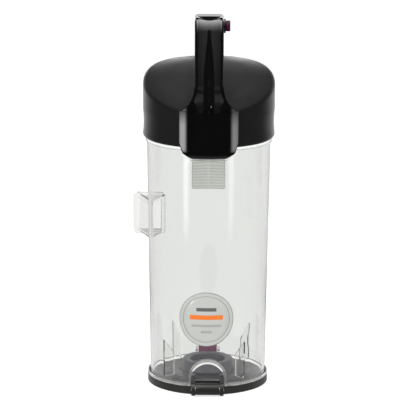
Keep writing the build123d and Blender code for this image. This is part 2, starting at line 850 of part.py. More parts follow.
# Liner: plate screwed up into the lid, with a spigot that drops into the cylinder
spigot_bottom = lid_bottom + spigot_rise
spigot_outer = tube_inner(spigot_bottom) - spigot_gap
liner_bottom = bin_top + 0.2
seal_low = spigot_bottom + 1.2
seal_high = seal_low + lid_seal_height
with BuildPart() as lid_liner:
    with BuildSketch(Plane.XZ):
        with BuildLine():
            Polyline(
                (liner_inner_radius, liner_bottom),
                (spigot_outer - spigot_wall, liner_bottom),
                (spigot_outer - spigot_wall, spigot_bottom),
                (spigot_outer, spigot_bottom),
                (spigot_outer, seal_low),
                (spigot_outer - lid_seal_depth, seal_low),
                (spigot_outer - lid_seal_depth, seal_high),
                (spigot_outer, seal_high),
                (spigot_outer, liner_bottom),
                (lid_radius - lid_wall - lid_waist - 0.3, liner_bottom),
                (lid_radius - lid_wall - lid_waist - 0.3, liner_top),
                (liner_inner_radius, liner_top),
                close=True,
            )
        make_face()
    revolve(axis=Axis.Z)
    with Locations((0, 0, liner_bottom - 1)):
        with PolarLocations(liner_screw_circle, liner_screws_count, start_angle=45):
            Cylinder(
                screw_radius + 0.1,
                liner_plate + 2,
                align=(Align.CENTER, Align.CENTER, Align.MIN),
                mode=Mode.SUBTRACT,
            )
lid_liner.part.label = "lid_liner"
export_step(lid_liner.part, "parts/lid_liner.step")

with BuildPart() as lid_seal:
    with BuildSketch(Plane.XZ):
        with BuildLine():
            seal_lip = tube_inner(seal_low) - lid_seal_gap
            Polyline(
                (spigot_outer - lid_seal_depth + 0.05, seal_low + 0.05),
                (seal_lip - 0.5, seal_low + 0.05),
                (seal_lip, seal_low + 1.0),
                (seal_lip, seal_low + 1.8),
                (spigot_outer, seal_high - 0.05),
                (spigot_outer - lid_seal_depth + 0.05, seal_high - 0.05),
                close=True,
            )
        make_face()
    revolve(axis=Axis.Z)
lid_seal.part.label = "lid_seal"
export_step(lid_seal.part, "parts/lid_seal.step")

with BuildPart() as liner_screws:
    with Locations((0, 0, liner_bottom - screw_head)):
        with PolarLocations(liner_screw_circle, liner_screws_count, start_angle=45):
            Cylinder(screw_head_radius, screw_head, align=(Align.CENTER, Align.CENTER, Align.MIN))
            Cylinder(
                screw_radius,
                screw_head + liner_plate + liner_screw_bite,
                align=(Align.CENTER, Align.CENTER, Align.MIN),
            )
    chamfer(liner_screws.faces().sort_by(Axis.Z)[:liner_screws_count].edges(), 0.7)
liner_screws.part.label = "liner_screws"
export_step(liner_screws.part, "parts/liner_screws.step")

with BuildPart() as handle_screws:
    with Locations(*[(x, y, lid_top(y) - handle_pad - screw_head) for x, y in handle_screw_spots]):
        Cylinder(screw_head_radius, screw_head, align=(Align.CENTER, Align.CENTER, Align.MIN))
        Cylinder(
            screw_radius,
            screw_head + handle_pad + handle_screw_bite,
            align=(Align.CENTER, Align.CENTER, Align.MIN),
        )
handle_screws.part.label = "handle_screws"
export_step(handle_screws.part, "parts/handle_screws.step")

# Flared foot of the front leg, set back a little from the panel's face
flare_low = lid_top(-lid_radius) - 4
flare_spread = 2 * panel_half - handle_width
flare_steps = [
    (flare_low, handle_width + 0.9 * flare_spread, leg_depth - 3.0),
    (leg_base_z + 0.16 * flare_height, handle_width + 0.55 * flare_spread, leg_depth - 2.4),
    (leg_base_z + 0.32 * flare_height, handle_width + 0.34 * flare_spread, leg_depth - 1.6),
    (leg_base_z + 0.58 * flare_height, handle_width + 0.13 * flare_spread, leg_depth - 0.8),
    (flare_top, handle_width - 0.4, leg_depth - 0.4),
]
with BuildPart() as leg_flare:
    for flare_z, flare_width, flare_depth in flare_steps:
        with BuildSketch(Plane.XY.offset(flare_z)):
            with Locations((0, leg_front(max(flare_z, leg_base_z)) + flare_depth / 2)):
                RectangleRounded(flare_width, flare_depth, handle_round)
    loft()
    add(upright(panel_radius - flare_set, 0, flare_low - 5, flare_top + 5), mode=Mode.INTERSECT)

# Outer skin of the front panel, upright and then curving in under the chin of the tab
with BuildPart() as panel_skin:
    with BuildSketch(Plane.XZ):
        with BuildLine():
            chin_top = panel_bottom + panel_chin
            chin_radius = panel_radius - panel_chin_in
            Line((0, panel_bottom), (chin_radius, panel_bottom))
            TangentArc((panel_radius, chin_top), (chin_radius, panel_bottom), tangent=(0, -1))
            Polyline((panel_radius, chin_top), (panel_radius, leg_base_z), (0, leg_base_z), (0, panel_bottom))
        make_face()
    revolve(axis=Axis.Z)

# Front panel that wraps the lid and hangs over the cylinder as a tab
with BuildPart() as front_panel:
    with BuildSketch(Plane.XZ.offset(panel_start)):
        add(panel_outline(0))
    extrude(amount=panel_radius)
    add(panel_skin.part, mode=Mode.INTERSECT)
    add(upright(bead_radius + panel_back_gap, 0, panel_bottom - 5, lid_bottom + 2), mode=Mode.SUBTRACT)
    panel_front = front_panel.faces().filter_by(
        lambda f: hypot(f.center().X, f.center().Y) > panel_radius - panel_chin_in and f.area > 150
    )
    panel_rim = panel_front.edges().filter_by(
        lambda e: e.center().Z < leg_base_z - 0.5 and abs(e.center().Z - chin_top) > 0.01
    )
    fillet(panel_rim, panel_edge_round)

# Handle: loop drawn from the side, then foot and panel, cut to sit on the lid
with BuildPart() as handle_shell:
    with BuildSketch(Plane.YZ) as loop:
        outer_front = leg_meets_bar(0, bar_half)
        inner_front = leg_meets_bar(leg_depth, -bar_half)
        outer_rear = (rear_leg_y + bar_half, bar_line(rear_leg_y + bar_half, bar_half))
        inner_rear = (rear_leg_y - bar_half, bar_line(rear_leg_y - bar_half, -bar_half))
        with BuildLine():
            Polyline(
                (leg_front(leg_base_z - 6), leg_base_z - 6),
                outer_front,
                outer_rear,
                (rear_leg_y + bar_half, lid_crest - 6),
                (rear_leg_y - bar_half, lid_crest - 6),
                inner_rear,
                inner_front,
                (leg_front(leg_base_z - 6) + leg_depth, leg_base_z - 6),
                close=True,
            )
        make_face()
        fillet(loop.vertices().sort_by_distance(outer_front)[0], front_bend)
        fillet(loop.vertices().sort_by_distance(outer_rear)[0], rear_bend)
        fillet(loop.vertices().sort_by_distance(inner_rear)[0], grip_bend)
        fillet(loop.vertices().sort_by_distance(inner_front)[0], grip_bend)
    extrude(amount=handle_width / 2, both=True)
    side_edges = handle_shell.faces().filter_by(Axis.X).edges()
    fillet(side_edges.filter_by(lambda e: e.center().Z > leg_base_z), handle_round)
    add(leg_flare.part)
    add(front_panel.part)
    add(lid_body(fit_gap, lid_bottom - 0.3), mode=Mode.SUBTRACT)
    # Tapering flute down the front of the leg, hollowed by a slim cone that lies along it
    flute_low = leg_base_z + 1.5
    flute_high = outer_front[1] - front_bend + 2
    foot_bend = (flute_bottom**2 / 4 + flute_depth**2) / (2 * flute_depth)
    head_bend = (flute_top**2 / 4 + flute_top_depth**2) / (2 * flute_top_depth)
    flute_foot = Vector(0, leg_front(flute_low) + flute_depth - foot_bend, flute_low)
    flute_head = Vector(0, leg_front(flute_high) + flute_top_depth - head_bend, flute_high)
    with Locations(Plane(origin=flute_foot, z_dir=flute_head - flute_foot).location):
        Cone(
            foot_bend,
            head_bend,
            (flute_head - flute_foot).length,
            align=(Align.CENTER, Align.CENTER, Align.MIN),
            mode=Mode.SUBTRACT,
        )
    # Thumb dish at the top of the leg
    dish_y = outer_front[0] + front_bend + 1
    with Locations((0, dish_y, bar_line(dish_y, bar_half) + dish_radius - dish_depth)):
        Sphere(dish_radius, mode=Mode.SUBTRACT)
    # Chamber for the button and bolt, its opening and cover recess underneath, and the bolt's way out
    with Locations(bar.location):
        with Locations((0, (chamber_front + chamber_rear) / 2, 0)):
            Box(
                2 * chamber_half,
                chamber_rear - chamber_front,
                2 * chamber_half_height,
                mode=Mode.SUBTRACT,
            )
        with Locations((0, spring_room_front, 0)):
            Cylinder(
                bolt_spring_radius + spring_room_gap,
                chamber_front - spring_room_front + 1,
                rotation=(-90, 0, 0),
                align=(Align.CENTER, Align.CENTER, Align.MIN),
                mode=Mode.SUBTRACT,
            )
        with Locations((0, (cover_front + 3 + chamber_rear) / 2, -bar_half)):
            Box(
                2 * opening_half,
                chamber_rear - cover_front - 3,
                2 * (bar_half - chamber_half_height + 1),
                mode=Mode.SUBTRACT,
            )
        with Locations((0, (cover_front + cover_rear) / 2, -bar_half)):
            Box(
                2 * cover_half + 0.3,
                cover_rear - cover_front + 0.3,
                2 * cover_plate,
                mode=Mode.SUBTRACT,
            )
        with Locations((0, chamber_rear + lid_radius / 2 - 1, 0)):
            Box(
                2 * (bolt_tail_half + bolt_gap),
                lid_radius,
                2 * (bolt_tail_half_height + bolt_gap),
                mode=Mode.SUBTRACT,
            )
        with Locations((chamber_half - 1, 0, 0)):
            Cylinder(
                button_radius + button_gap,
                20,
                rotation=(0, 90, 0),
                align=(Align.CENTER, Align.CENTER, Align.MIN),
                mode=Mode.SUBTRACT,
            )
        with Locations((collar_in, 0, 0)):
            Cylinder(
                collar_radius + 0.05,
                20,
                rotation=(0, 90, 0),
                align=(Align.CENTER, Align.CENTER, Align.MIN),
                mode=Mode.SUBTRACT,
            )
        with Locations((0, (chamber_rear + cover_rear) / 2, -bar_half)):
            Cylinder(1.22, 2 * (cover_plate + 3.4), mode=Mode.SUBTRACT)
    with Locations(*[(x, y, lid_top(y) - 5) for x, y in handle_screw_spots]):
        Cylinder(
            screw_radius + 0.02,
            5 + handle_screw_bite + 0.5,
            align=(Align.CENTER, Align.CENTER, Align.MIN),
            mode=Mode.SUBTRACT,
        )
handle_shell.part.label = "handle_shell"
export_step(handle_shell.part, "parts/handle_shell.step")

# Cover under the bar and its screw
with BuildPart() as handle_cover:
    with Locations(bar.location):
        with Locations((0, (cover_front + cover_rear) / 2, -bar_half + cover_plate / 2)):
            Box(2 * cover_half, cover_rear - cover_front, cover_plate)
        with Locations((0, (chamber_rear + cover_rear) / 2, -bar_half)):
            Cylinder(1.3, 4 * cover_plate, mode=Mode.SUBTRACT)
            Cylinder(2.5, 2.4, mode=Mode.SUBTRACT)
handle_cover.part.label = "handle_cover"
export_step(handle_cover.part, "parts/handle_cover.step")

with BuildPart() as cover_screw:
    with Locations(bar.location):
        with Locations((0, (chamber_rear + cover_rear) / 2, -bar_half + 0.1)):
            Cylinder(2.3, 1.1, align=(Align.CENTER, Align.CENTER, Align.MIN))
            Cylinder(1.2, cover_plate + 3.0, align=(Align.CENTER, Align.CENTER, Align.MIN))
cover_screw.part.label = "cover_screw"
export_step(cover_screw.part, "parts/cover_screw.step")

with BuildPart() as button_collar:
    with Locations(bar.location):
        with Locations((collar_in, 0, 0)):
            Cylinder(
                collar_radius,
                collar_out - collar_in,
                rotation=(0, 90, 0),
                align=(Align.CENTER, Align.CENTER, Align.MIN),
            )
            Cylinder(
                button_radius + button_gap,
                collar_out - collar_in,
                rotation=(0, 90, 0),
                align=(Align.CENTER, Align.CENTER, Align.MIN),
                mode=Mode.SUBTRACT,
            )
    chamfer(button_collar.faces().sort_by(Axis.X)[-1].edges(), 0.5)
button_collar.part.label = "button_collar"
export_step(button_collar.part, "parts/button_collar.step")

# Button with the wedge tongue that drives the bolt
button_seat = chamber_half - 2.0
tongue_tip = wedge_shift + 1.42 * wedge_gap - (tongue_rear - 2.2)
with BuildPart() as release_button:
    with Locations(bar.location):
        with Locations((button_seat, 0, 0)):
            Cylinder(
                button_radius,
                button_out - button_seat,
                rotation=(0, 90, 0),
                align=(Align.CENTER, Align.CENTER, Align.MIN),
            )
            Cylinder(
                button_flange,
                1.7,
                rotation=(0, 90, 0),
                align=(Align.CENTER, Align.CENTER, Align.MIN),
            )
    chamfer(release_button.faces().sort_by(Axis.X)[-1].edges(), 0.5)
    with BuildSketch(bar.offset(-tongue_half_height)):
        with BuildLine():
            Polyline(
                (chamber_half, tongue_front),
                (wedge_shift + 1.42 * wedge_gap - tongue_front, tongue_front),
                (tongue_tip, tongue_rear - 2.2),
                (tongue_tip, tongue_rear),
                (chamber_half, tongue_rear),
                close=True,
            )
        make_face()
    extrude(amount=2 * tongue_half_height)
release_button.part.label = "release_button"
export_step(release_button.part, "parts/release_button.step")

# Bolt with the notch the tongue works in, a spring spigot in front and the nose at the rear
bolt_side = button_seat - button_travel - bolt_gap
notch_floor = tongue_tip - button_travel - 0.5
notch_rear = tongue_rear + button_travel + 2.0
nose_reach = (bolt_nose_y - button_y) / cos(radians(handle_slope))
with BuildPart() as release_bolt:
    with BuildSketch(bar.offset(-bolt_half_height)):
        with BuildLine():
            Polyline(
                (-bolt_half, bolt_front),
                (bolt_side, bolt_front),
                (bolt_side, wedge_shift - bolt_side),
                (notch_floor, wedge_shift - notch_floor),
                (notch_floor, notch_rear),
                (bolt_side, notch_rear),
                (bolt_side, bolt_neck),
                (-bolt_half, bolt_neck),
                close=True,
            )
        make_face()
    extrude(amount=2 * bolt_half_height)
    with BuildSketch(bar.offset(-bolt_tail_half_height)):
        with Locations((0, (bolt_neck - 1 + nose_reach) / 2)):
            Rectangle(2 * bolt_tail_half, nose_reach - bolt_neck + 1)
    extrude(amount=2 * bolt_tail_half_height)
    nose_edge = release_bolt.faces().sort_by(Axis.Y)[-1].edges().sort_by(Axis.Z)[-1]
    chamfer(nose_edge, 4.0)
    with Locations(bar.location):
        with Locations((0, bolt_front + 1, 0)):
            Cylinder(
                bolt_spring_radius - spring_wire - 0.5,
                7,
                rotation=(90, 0, 0),
                align=(Align.CENTER, Align.CENTER, Align.MIN),
            )
release_bolt.part.label = "release_bolt"
export_step(release_bolt.part, "parts/release_bolt.step")

bolt_spring_length = bolt_front - spring_room_front - 0.4
bolt_spring_plane = Plane(
    origin=bar.from_local_coords((0, bolt_front - 0.2 - spring_wire / 2, 0)),
    z_dir=bar.from_local_coords((0, -1, 0)) - bar.origin,
)
with BuildPart() as bolt_spring:
    with Locations(bolt_spring_plane.location):
        add(spring(bolt_spring_radius - spring_wire / 2, bolt_spring_length, 4))
bolt_spring.part.label = "bolt_spring"
export_step(bolt_spring.part, "parts/bolt_spring.step")
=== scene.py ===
import json
import math

import bpy
import numpy as np
from mathutils import Matrix, Vector


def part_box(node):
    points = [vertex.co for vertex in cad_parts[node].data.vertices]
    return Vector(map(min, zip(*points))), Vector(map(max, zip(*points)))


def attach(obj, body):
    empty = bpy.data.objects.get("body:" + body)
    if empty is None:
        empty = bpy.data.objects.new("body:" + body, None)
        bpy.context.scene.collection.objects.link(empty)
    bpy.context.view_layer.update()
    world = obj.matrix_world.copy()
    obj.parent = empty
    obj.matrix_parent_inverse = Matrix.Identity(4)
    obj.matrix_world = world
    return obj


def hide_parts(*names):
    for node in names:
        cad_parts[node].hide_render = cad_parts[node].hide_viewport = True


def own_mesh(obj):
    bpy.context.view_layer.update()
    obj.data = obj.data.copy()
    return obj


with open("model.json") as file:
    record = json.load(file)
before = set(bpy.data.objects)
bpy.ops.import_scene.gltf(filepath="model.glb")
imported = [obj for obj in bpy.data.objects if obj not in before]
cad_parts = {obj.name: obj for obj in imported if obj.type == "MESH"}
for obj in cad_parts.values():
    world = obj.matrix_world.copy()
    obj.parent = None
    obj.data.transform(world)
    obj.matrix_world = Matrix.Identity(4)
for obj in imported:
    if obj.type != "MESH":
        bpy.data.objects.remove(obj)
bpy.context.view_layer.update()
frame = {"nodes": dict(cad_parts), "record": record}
nodes = frame["nodes"]
scene = bpy.context.scene
scene.view_settings.view_transform = "Standard"
mm = 0.001
print("frame loaded:", len(nodes), "solids")


# shader helpers

def newNode(tree, kind, x=0, y=0, **settings):
    node = tree.nodes.new(kind)
    node.location = (x, y)
    for key, value in settings.items():
        setattr(node, key, value)
    return node


def join(tree, source, target):
    tree.links.new(source, target)


def feed(tree, value, sock):
    # a socket takes either another node's output or a plain value
    if hasattr(value, "links"):
        join(tree, value, sock)
    else:
        sock.default_value = value


def grey(level):
    return (level, level, level, 1)


def blankMaterial(name):
    mat = bpy.data.materials.new(name)
    mat.use_nodes = True
    mat.node_tree.nodes.clear()
    out = newNode(mat.node_tree, "ShaderNodeOutputMaterial", 900, 0)
    return mat, mat.node_tree, out


def newGroup(name, inputs, outputs):
    group = bpy.data.node_groups.new(name, "ShaderNodeTree")
    for label, kind, value in inputs:
        sock = group.interface.new_socket(name=label, in_out="INPUT", socket_type=kind)
        if value is not None:
            sock.default_value = value
    for label, kind in outputs:
        group.interface.new_socket(name=label, in_out="OUTPUT", socket_type=kind)
    return group, newNode(group, "NodeGroupInput", -900, 0), newNode(group, "NodeGroupOutput", 900, 0)


def mathNode(tree, operation, first, second=0.0, x=0, y=0, clamp=False):
    node = newNode(tree, "ShaderNodeMath", x, y, operation=operation, use_clamp=clamp)
    feed(tree, first, node.inputs[0])
    feed(tree, second, node.inputs[1])
    return node.outputs[0]


def rangeNode(tree, source, fromLow, fromHigh, toLow, toHigh, x=0, y=0, smooth=True):
    node = newNode(tree, "ShaderNodeMapRange", x, y)
    node.interpolation_type = "SMOOTHSTEP" if smooth else "LINEAR"
    join(tree, source, node.inputs["Value"])
    ends = {"From Min": fromLow, "From Max": fromHigh, "To Min": toLow, "To Max": toHigh}
    for label, value in ends.items():
        feed(tree, value, node.inputs[label])
    return node.outputs["Result"]


def noiseNode(tree, vector, scale, detail, rough, x=0, y=0):
    node = newNode(tree, "ShaderNodeTexNoise", x, y)
    join(tree, vector, node.inputs["Vector"])
    feed(tree, scale, node.inputs["Scale"])
    node.inputs["Detail"].default_value = detail
    node.inputs["Roughness"].default_value = rough
    return node.outputs["Fac"]


def tintNode(tree, mask, dark, light, x=200, y=300):
    node = newNode(tree, "ShaderNodeMix", x, y, data_type="RGBA")
    join(tree, mask, node.inputs["Factor"])
    for sock, colour in ((node.inputs["A"], dark), (node.inputs["B"], light)):
        feed(tree, colour if hasattr(colour, "links") else (*colour, 1), sock)
    return node.outputs["Result"]


def rampNode(tree, source, stops, x=0, y=0):
    node = newNode(tree, "ShaderNodeValToRGB", x, y)
    elements = node.color_ramp.elements
    for end in (0, -1):
        elements[end].position = stops[end][0]
        elements[end].color = grey(stops[end][1])
    for place, level in stops[1:-1]:
        elements.new(place).color = grey(level)
    join(tree, source, node.inputs["Fac"])
    return node.outputs["Color"]


def axesNode(tree, vector, x=0, y=0):
    node = newNode(tree, "ShaderNodeSeparateXYZ", x, y)
    join(tree, vector, node.inputs[0])
    return node.outputs


def coordsNode(tree, kind, x=-900, y=0):
    return newNode(tree, "ShaderNodeTexCoord", x, y).outputs[kind]


def squareNode(tree, value):
    return mathNode(tree, "MULTIPLY", value, value)


def radiusNode(tree, x, y):
    return mathNode(tree, "SQRT", mathNode(tree, "ADD", squareNode(tree, x), squareNode(tree, y)))


def bumpNode(tree, height, distance, strength, x=250, y=-300, under=None):
    node = newNode(tree, "ShaderNodeBump", x, y)
    if under:
        join(tree, under, node.inputs["Normal"])
    node.inputs["Strength"].default_value = strength
    node.inputs["Distance"].default_value = distance
    join(tree, height, node.inputs["Height"])
    return node.outputs["Normal"]


def placeGroup(tree, group, x=0, y=0, **values):
    node = newNode(tree, "ShaderNodeGroup", x, y, node_tree=group)
    for label, value in values.items():
        feed(tree, value, node.inputs[label.replace("_", " ")])
    return node


def principled(tree, out, settings, x=500, y=0):
    shader = newNode(tree, "ShaderNodeBsdfPrincipled", x, y)
    for label, value in settings.items():
        shader.inputs[label].default_value = value
    if out is not None:
        join(tree, shader.outputs[0], out.inputs["Surface"])
    return shader


# effects that several finishes share

grainLook = {"broadShare": 0.012, "patchFrom": 0.3, "patchTo": 0.7}


def makeSparkGrain():
    # spark-eroded mould texture: fine noise as a height, a coarser one as a roughness
    group, gIn, gOut = newGroup(
        "sparkGrain",
        [("Vector", "NodeSocketVector", None), ("Scale", "NodeSocketFloat", 2600.0),
         ("Low Rough", "NodeSocketFloat", 0.35), ("High Rough", "NodeSocketFloat", 0.5)],
        [("Height", "NodeSocketFloat"), ("Rough", "NodeSocketFloat")],
    )
    vector, scale, lowRough, highRough = gIn.outputs[:4]
    fine = noiseNode(group, vector, scale, detail=2.0, rough=0.55, x=-500, y=150)
    broadScale = mathNode(group, "MULTIPLY", scale, grainLook["broadShare"], -700, -150)
    broad = noiseNode(group, vector, broadScale, detail=3.0, rough=0.6, x=-500, y=-150)
    rough = rangeNode(
        group, broad, grainLook["patchFrom"], grainLook["patchTo"], lowRough, highRough, 100, -150,
    )
    join(group, fine, gOut.inputs["Height"])
    join(group, rough, gOut.inputs["Rough"])
    return group


smearLook = {"turn": (0.5, 0.9, 0.2), "stretch": (1.0, 1.0, 0.35), "from": 0.5, "to": 0.72}


def makeHandlingHaze():
    # faint smears from handling and polishing: stretched noise that lifts the roughness in patches
    group, gIn, gOut = newGroup(
        "handlingHaze",
        [("Vector", "NodeSocketVector", None), ("Scale", "NodeSocketFloat", 30.0),
         ("Clean Rough", "NodeSocketFloat", 0.04), ("Smeared Rough", "NodeSocketFloat", 0.12)],
        [("Rough", "NodeSocketFloat"), ("Smear", "NodeSocketFloat")],
    )
    vector, scale, cleanRough, smearedRough = gIn.outputs[:4]
    stretch = newNode(group, "ShaderNodeMapping", -700, 0)
    stretch.inputs["Rotation"].default_value = smearLook["turn"]
    stretch.inputs["Scale"].default_value = smearLook["stretch"]
    join(group, vector, stretch.inputs["Vector"])
    patch = noiseNode(group, stretch.outputs["Vector"], scale, detail=5.0, rough=0.62, x=-450, y=100)
    smear = rangeNode(group, patch, smearLook["from"], smearLook["to"], 0.0, 1.0, -150, 100)
    rough = rangeNode(group, smear, 0.0, 1.0, cleanRough, smearedRough, 200, 0, smooth=False)
    join(group, rough, gOut.inputs["Rough"])
    join(group, smear, gOut.inputs["Smear"])
    return group


rimLook = {
    "foot": 57.4, "draft": 0.0165, "bottom": 8.3, "proud": 0.5, "flangeProud": 2.2, "soft": 0.25,
    "flangeTop": 11.6, "lipTop": 36.0, "lipFront": -40.0, "lipShare": 0.5, "beadLow": 248.6,
}


def makeRimGlow():
    # painted glow on the clear wall's flange, pocket lip and bead, standing in for light gathered there:
    # 1 where a point stands proud of the cone
    group, gIn, gOut = newGroup(
        "paintedRimGlow", [("Vector", "NodeSocketVector", None)], [("Glow", "NodeSocketFloat")],
    )
    x, y, z = axesNode(group, gIn.outputs["Vector"], -700, 0)[:3]
    wallFoot = (rimLook["foot"] - rimLook["draft"] * rimLook["bottom"]) * mm
    wall = mathNode(group, "ADD", mathNode(group, "MULTIPLY", z, rimLook["draft"]), wallFoot)
    stand = mathNode(group, "SUBTRACT", radiusNode(group, x, y), wall)
    proud, edge = (
        rangeNode(group, stand, start * mm, (start + rimLook["soft"]) * mm, 0.0, 1.0)
        for start in (rimLook["proud"], rimLook["flangeProud"])
    )
    flangeTop = rimLook["flangeTop"] * mm
    flange = mathNode(group, "MULTIPLY", edge, mathNode(group, "LESS_THAN", z, flangeTop))
    under = mathNode(group, "LESS_THAN", z, rimLook["lipTop"] * mm)
    band = mathNode(group, "MULTIPLY", under, mathNode(group, "GREATER_THAN", z, flangeTop))
    front = mathNode(group, "LESS_THAN", y, rimLook["lipFront"] * mm)
    lip = mathNode(group, "MULTIPLY", mathNode(group, "MULTIPLY", band, front), rimLook["lipShare"])
    bead = mathNode(group, "GREATER_THAN", z, rimLook["beadLow"] * mm)
    lipOrBead = mathNode(group, "MULTIPLY", proud, mathNode(group, "MAXIMUM", lip, bead))
    join(group, mathNode(group, "MAXIMUM", flange, lipOrBead), gOut.inputs["Glow"])
    return group


crownLook = {
    "curve": 3.0, "from": 296.0, "to": 306.0,
    "edgeIn": 10.8, "edgeWide": 1.9, "edgeRound": 3.2, "bendLow": 358.0, "bendHigh": 366.0,
    "fluteHalf": 5.3, "fluteTop": 363.0, "fluteTaper": 41.0, "fluteTip": 0.0001,
    "fluteBow": 0.55, "fluteSlope": 0.17, "fluteFront": -40.0,
}


def makeGripCrown():
    # the grip's faces swell slightly across their width, its edges are fuller at the bend,
    # and a shallow flute widens down the front of the leg
    group, gIn, gOut = newGroup(
        "gripCrown", [("Vector", "NodeSocketVector", None)], [("Height", "NodeSocketFloat")],
    )
    x, y, z = axesNode(group, gIn.outputs["Vector"], -700, 0)[:3]
    offMiddle = mathNode(group, "ABSOLUTE", x)
    onGrip = rangeNode(group, z, crownLook["from"] * mm, crownLook["to"] * mm, 0.0, -crownLook["curve"])
    crown = mathNode(group, "MULTIPLY", squareNode(group, x), onGrip)
    fluteTop = crownLook["fluteTop"] * mm
    fluteLow = fluteTop - crownLook["fluteTaper"] * mm
    drop = rangeNode(group, z, fluteLow, fluteTop, 1.0, crownLook["fluteTip"], smooth=False)
    widen = mathNode(group, "POWER", drop, crownLook["fluteBow"])
    half = mathNode(group, "MULTIPLY", widen, crownLook["fluteHalf"] * mm)
    share = mathNode(group, "MINIMUM", mathNode(group, "DIVIDE", offMiddle, half), 1.0)
    bowl = mathNode(group, "SUBTRACT", squareNode(group, share), 1.0)
    deep = mathNode(group, "MULTIPLY", half, crownLook["fluteSlope"])
    front = mathNode(group, "LESS_THAN", y, crownLook["fluteFront"] * mm)
    flute = mathNode(group, "MULTIPLY", mathNode(group, "MULTIPLY", bowl, deep), front)
    past = mathNode(group, "SUBTRACT", offMiddle, crownLook["edgeIn"] * mm)
    past = mathNode(group, "MINIMUM", mathNode(group, "MAXIMUM", past, 0.0), crownLook["edgeWide"] * mm)
    fullness = 0.5 / (crownLook["edgeRound"] * mm)
    onBend = rangeNode(group, z, crownLook["bendLow"] * mm, crownLook["bendHigh"] * mm, 0.0, fullness)
    fuller = mathNode(group, "MULTIPLY", squareNode(group, past), onBend)
    height = mathNode(group, "ADD", mathNode(group, "ADD", crown, flute), fuller)
    join(group, height, gOut.inputs["Height"])
    return group


domeLook = {"from": 42.0, "fall": 0.0075}


def makeLidDome():
    # the lid's top eases down toward its rim:
    # height falls with the square of the distance past a plain middle
    group, gIn, gOut = newGroup(
        "lidDome", [("Vector", "NodeSocketVector", None)], [("Height", "NodeSocketFloat")],
    )
    x, y = axesNode(group, gIn.outputs["Vector"], -700, 0)[:2]
    past = mathNode(group, "SUBTRACT", radiusNode(group, x, y), domeLook["from"] * mm)
    past = mathNode(group, "MAXIMUM", past, 0.0)
    height = mathNode(group, "MULTIPLY", squareNode(group, past), -domeLook["fall"] / mm)
    join(group, height, gOut.inputs["Height"])
    return group


sparkGrain = makeSparkGrain()
handlingHaze = makeHandlingHaze()
paintedRimGlow = makeRimGlow()
gripCrown = makeGripCrown()
lidDome = makeLidDome()


# finishes

clearLook = {
    "colour": (0.893, 0.9, 0.886), "ior": 1.46, "level": 0.3, "hazeScale": 22.0, "clean": 0.008,
    "smeared": 0.03, "rippleScale": 26.0, "ripple": 0.0002, "rippleStrength": 0.15,
    # glow: colour of the painted glow on the flange, lip and bead
    "shade": (0.95, 0.95, 0.945), "dark": (0, 0, 0), "glow": (0.2, 0.2, 0.196),
}


def makeClearPlastic():
    mat, tree, out = blankMaterial("clearPlastic")
    coords = coordsNode(tree, "Object")
    haze = placeGroup(
        tree, handlingHaze, -200, 200, Vector=coords, Scale=clearLook["hazeScale"],
        Clean_Rough=clearLook["clean"], Smeared_Rough=clearLook["smeared"],
    )
    ripple = noiseNode(  # slow waviness of a moulded wall
        tree, coords, clearLook["rippleScale"], detail=1.0, rough=0.4, x=-200, y=-250,
    )
    glow = placeGroup(tree, paintedRimGlow, -200, -450, Vector=coords)
    shader = principled(tree, None, {
        "Base Color": (*clearLook["colour"], 1), "Transmission Weight": 1.0, "IOR": clearLook["ior"],
        "Specular IOR Level": clearLook["level"], "Emission Strength": 1.0,
    }, 400, 100)
    join(tree, haze.outputs["Rough"], shader.inputs["Roughness"])
    normal = bumpNode(tree, ripple, clearLook["ripple"], clearLook["rippleStrength"])
    join(tree, normal, shader.inputs["Normal"])
    # painted glow: the mask's emission colour lights the flange, lip and bead
    glowTint = tintNode(tree, glow.outputs["Glow"], clearLook["dark"], clearLook["glow"], 100, -450)
    join(tree, glowTint, shader.inputs["Emission Color"])
    through = newNode(tree, "ShaderNodeBsdfTransparent", 400, -300)
    through.inputs["Color"].default_value = (*clearLook["shade"], 1)
    path = newNode(tree, "ShaderNodeLightPath", 400, 400)
    mix = newNode(tree, "ShaderNodeMixShader", 700, 0)
    join(tree, path.outputs["Is Shadow Ray"], mix.inputs[0])
    join(tree, shader.outputs[0], mix.inputs[1])
    join(tree, through.outputs[0], mix.inputs[2])
    join(tree, mix.outputs[0], out.inputs["Surface"])
    return mat


grainedLooks = {
    "satin_plastic": {
        "name": "satinBlack", "dark": (0.0066, 0.0066, 0.0069), "light": (0.0086, 0.0086, 0.009),
        "grain": 2400.0, "depth": 0.00003, "lowRough": 0.46, "highRough": 0.56, "level": 0.1, "sheen": 1.0,
        "dome": True,
    },
    "flap_plastic": {
        "name": "oliveBlack", "dark": (0.0075, 0.0078, 0.0062), "light": (0.0105, 0.011, 0.009),
        "grain": 1900.0, "depth": 0.00002, "lowRough": 0.26, "highRough": 0.36, "level": 0.35,
        # floor: painted light on the floor's upward face
        "ring": (0.019, 0.0192, 0.0172), "floor": (0.108, 0.107, 0.113),
    },
    "grey_rubber": {
        "name": "greyRubber", "dark": (0.083, 0.082, 0.097), "light": (0.106, 0.105, 0.124),
        "grain": 1500.0, "depth": 0.00002, "lowRough": 0.36, "highRough": 0.48, "level": 0.45,
    },
    "black_rubber": {
        "name": "blackRubber", "dark": (0.012, 0.012, 0.012), "light": (0.02, 0.02, 0.02),
        "grain": 1500.0, "depth": 0.00003, "lowRough": 0.5, "highRough": 0.65, "level": 0.4,
    },
}
grainedShared = {"shadeScale": 14.0, "grainStrength": 0.35, "sheenRough": 0.3}
flapReach = {"ring": (64.6, 65.4), "floor": (56.3, 56.9)}  # radii between which each tone fades out


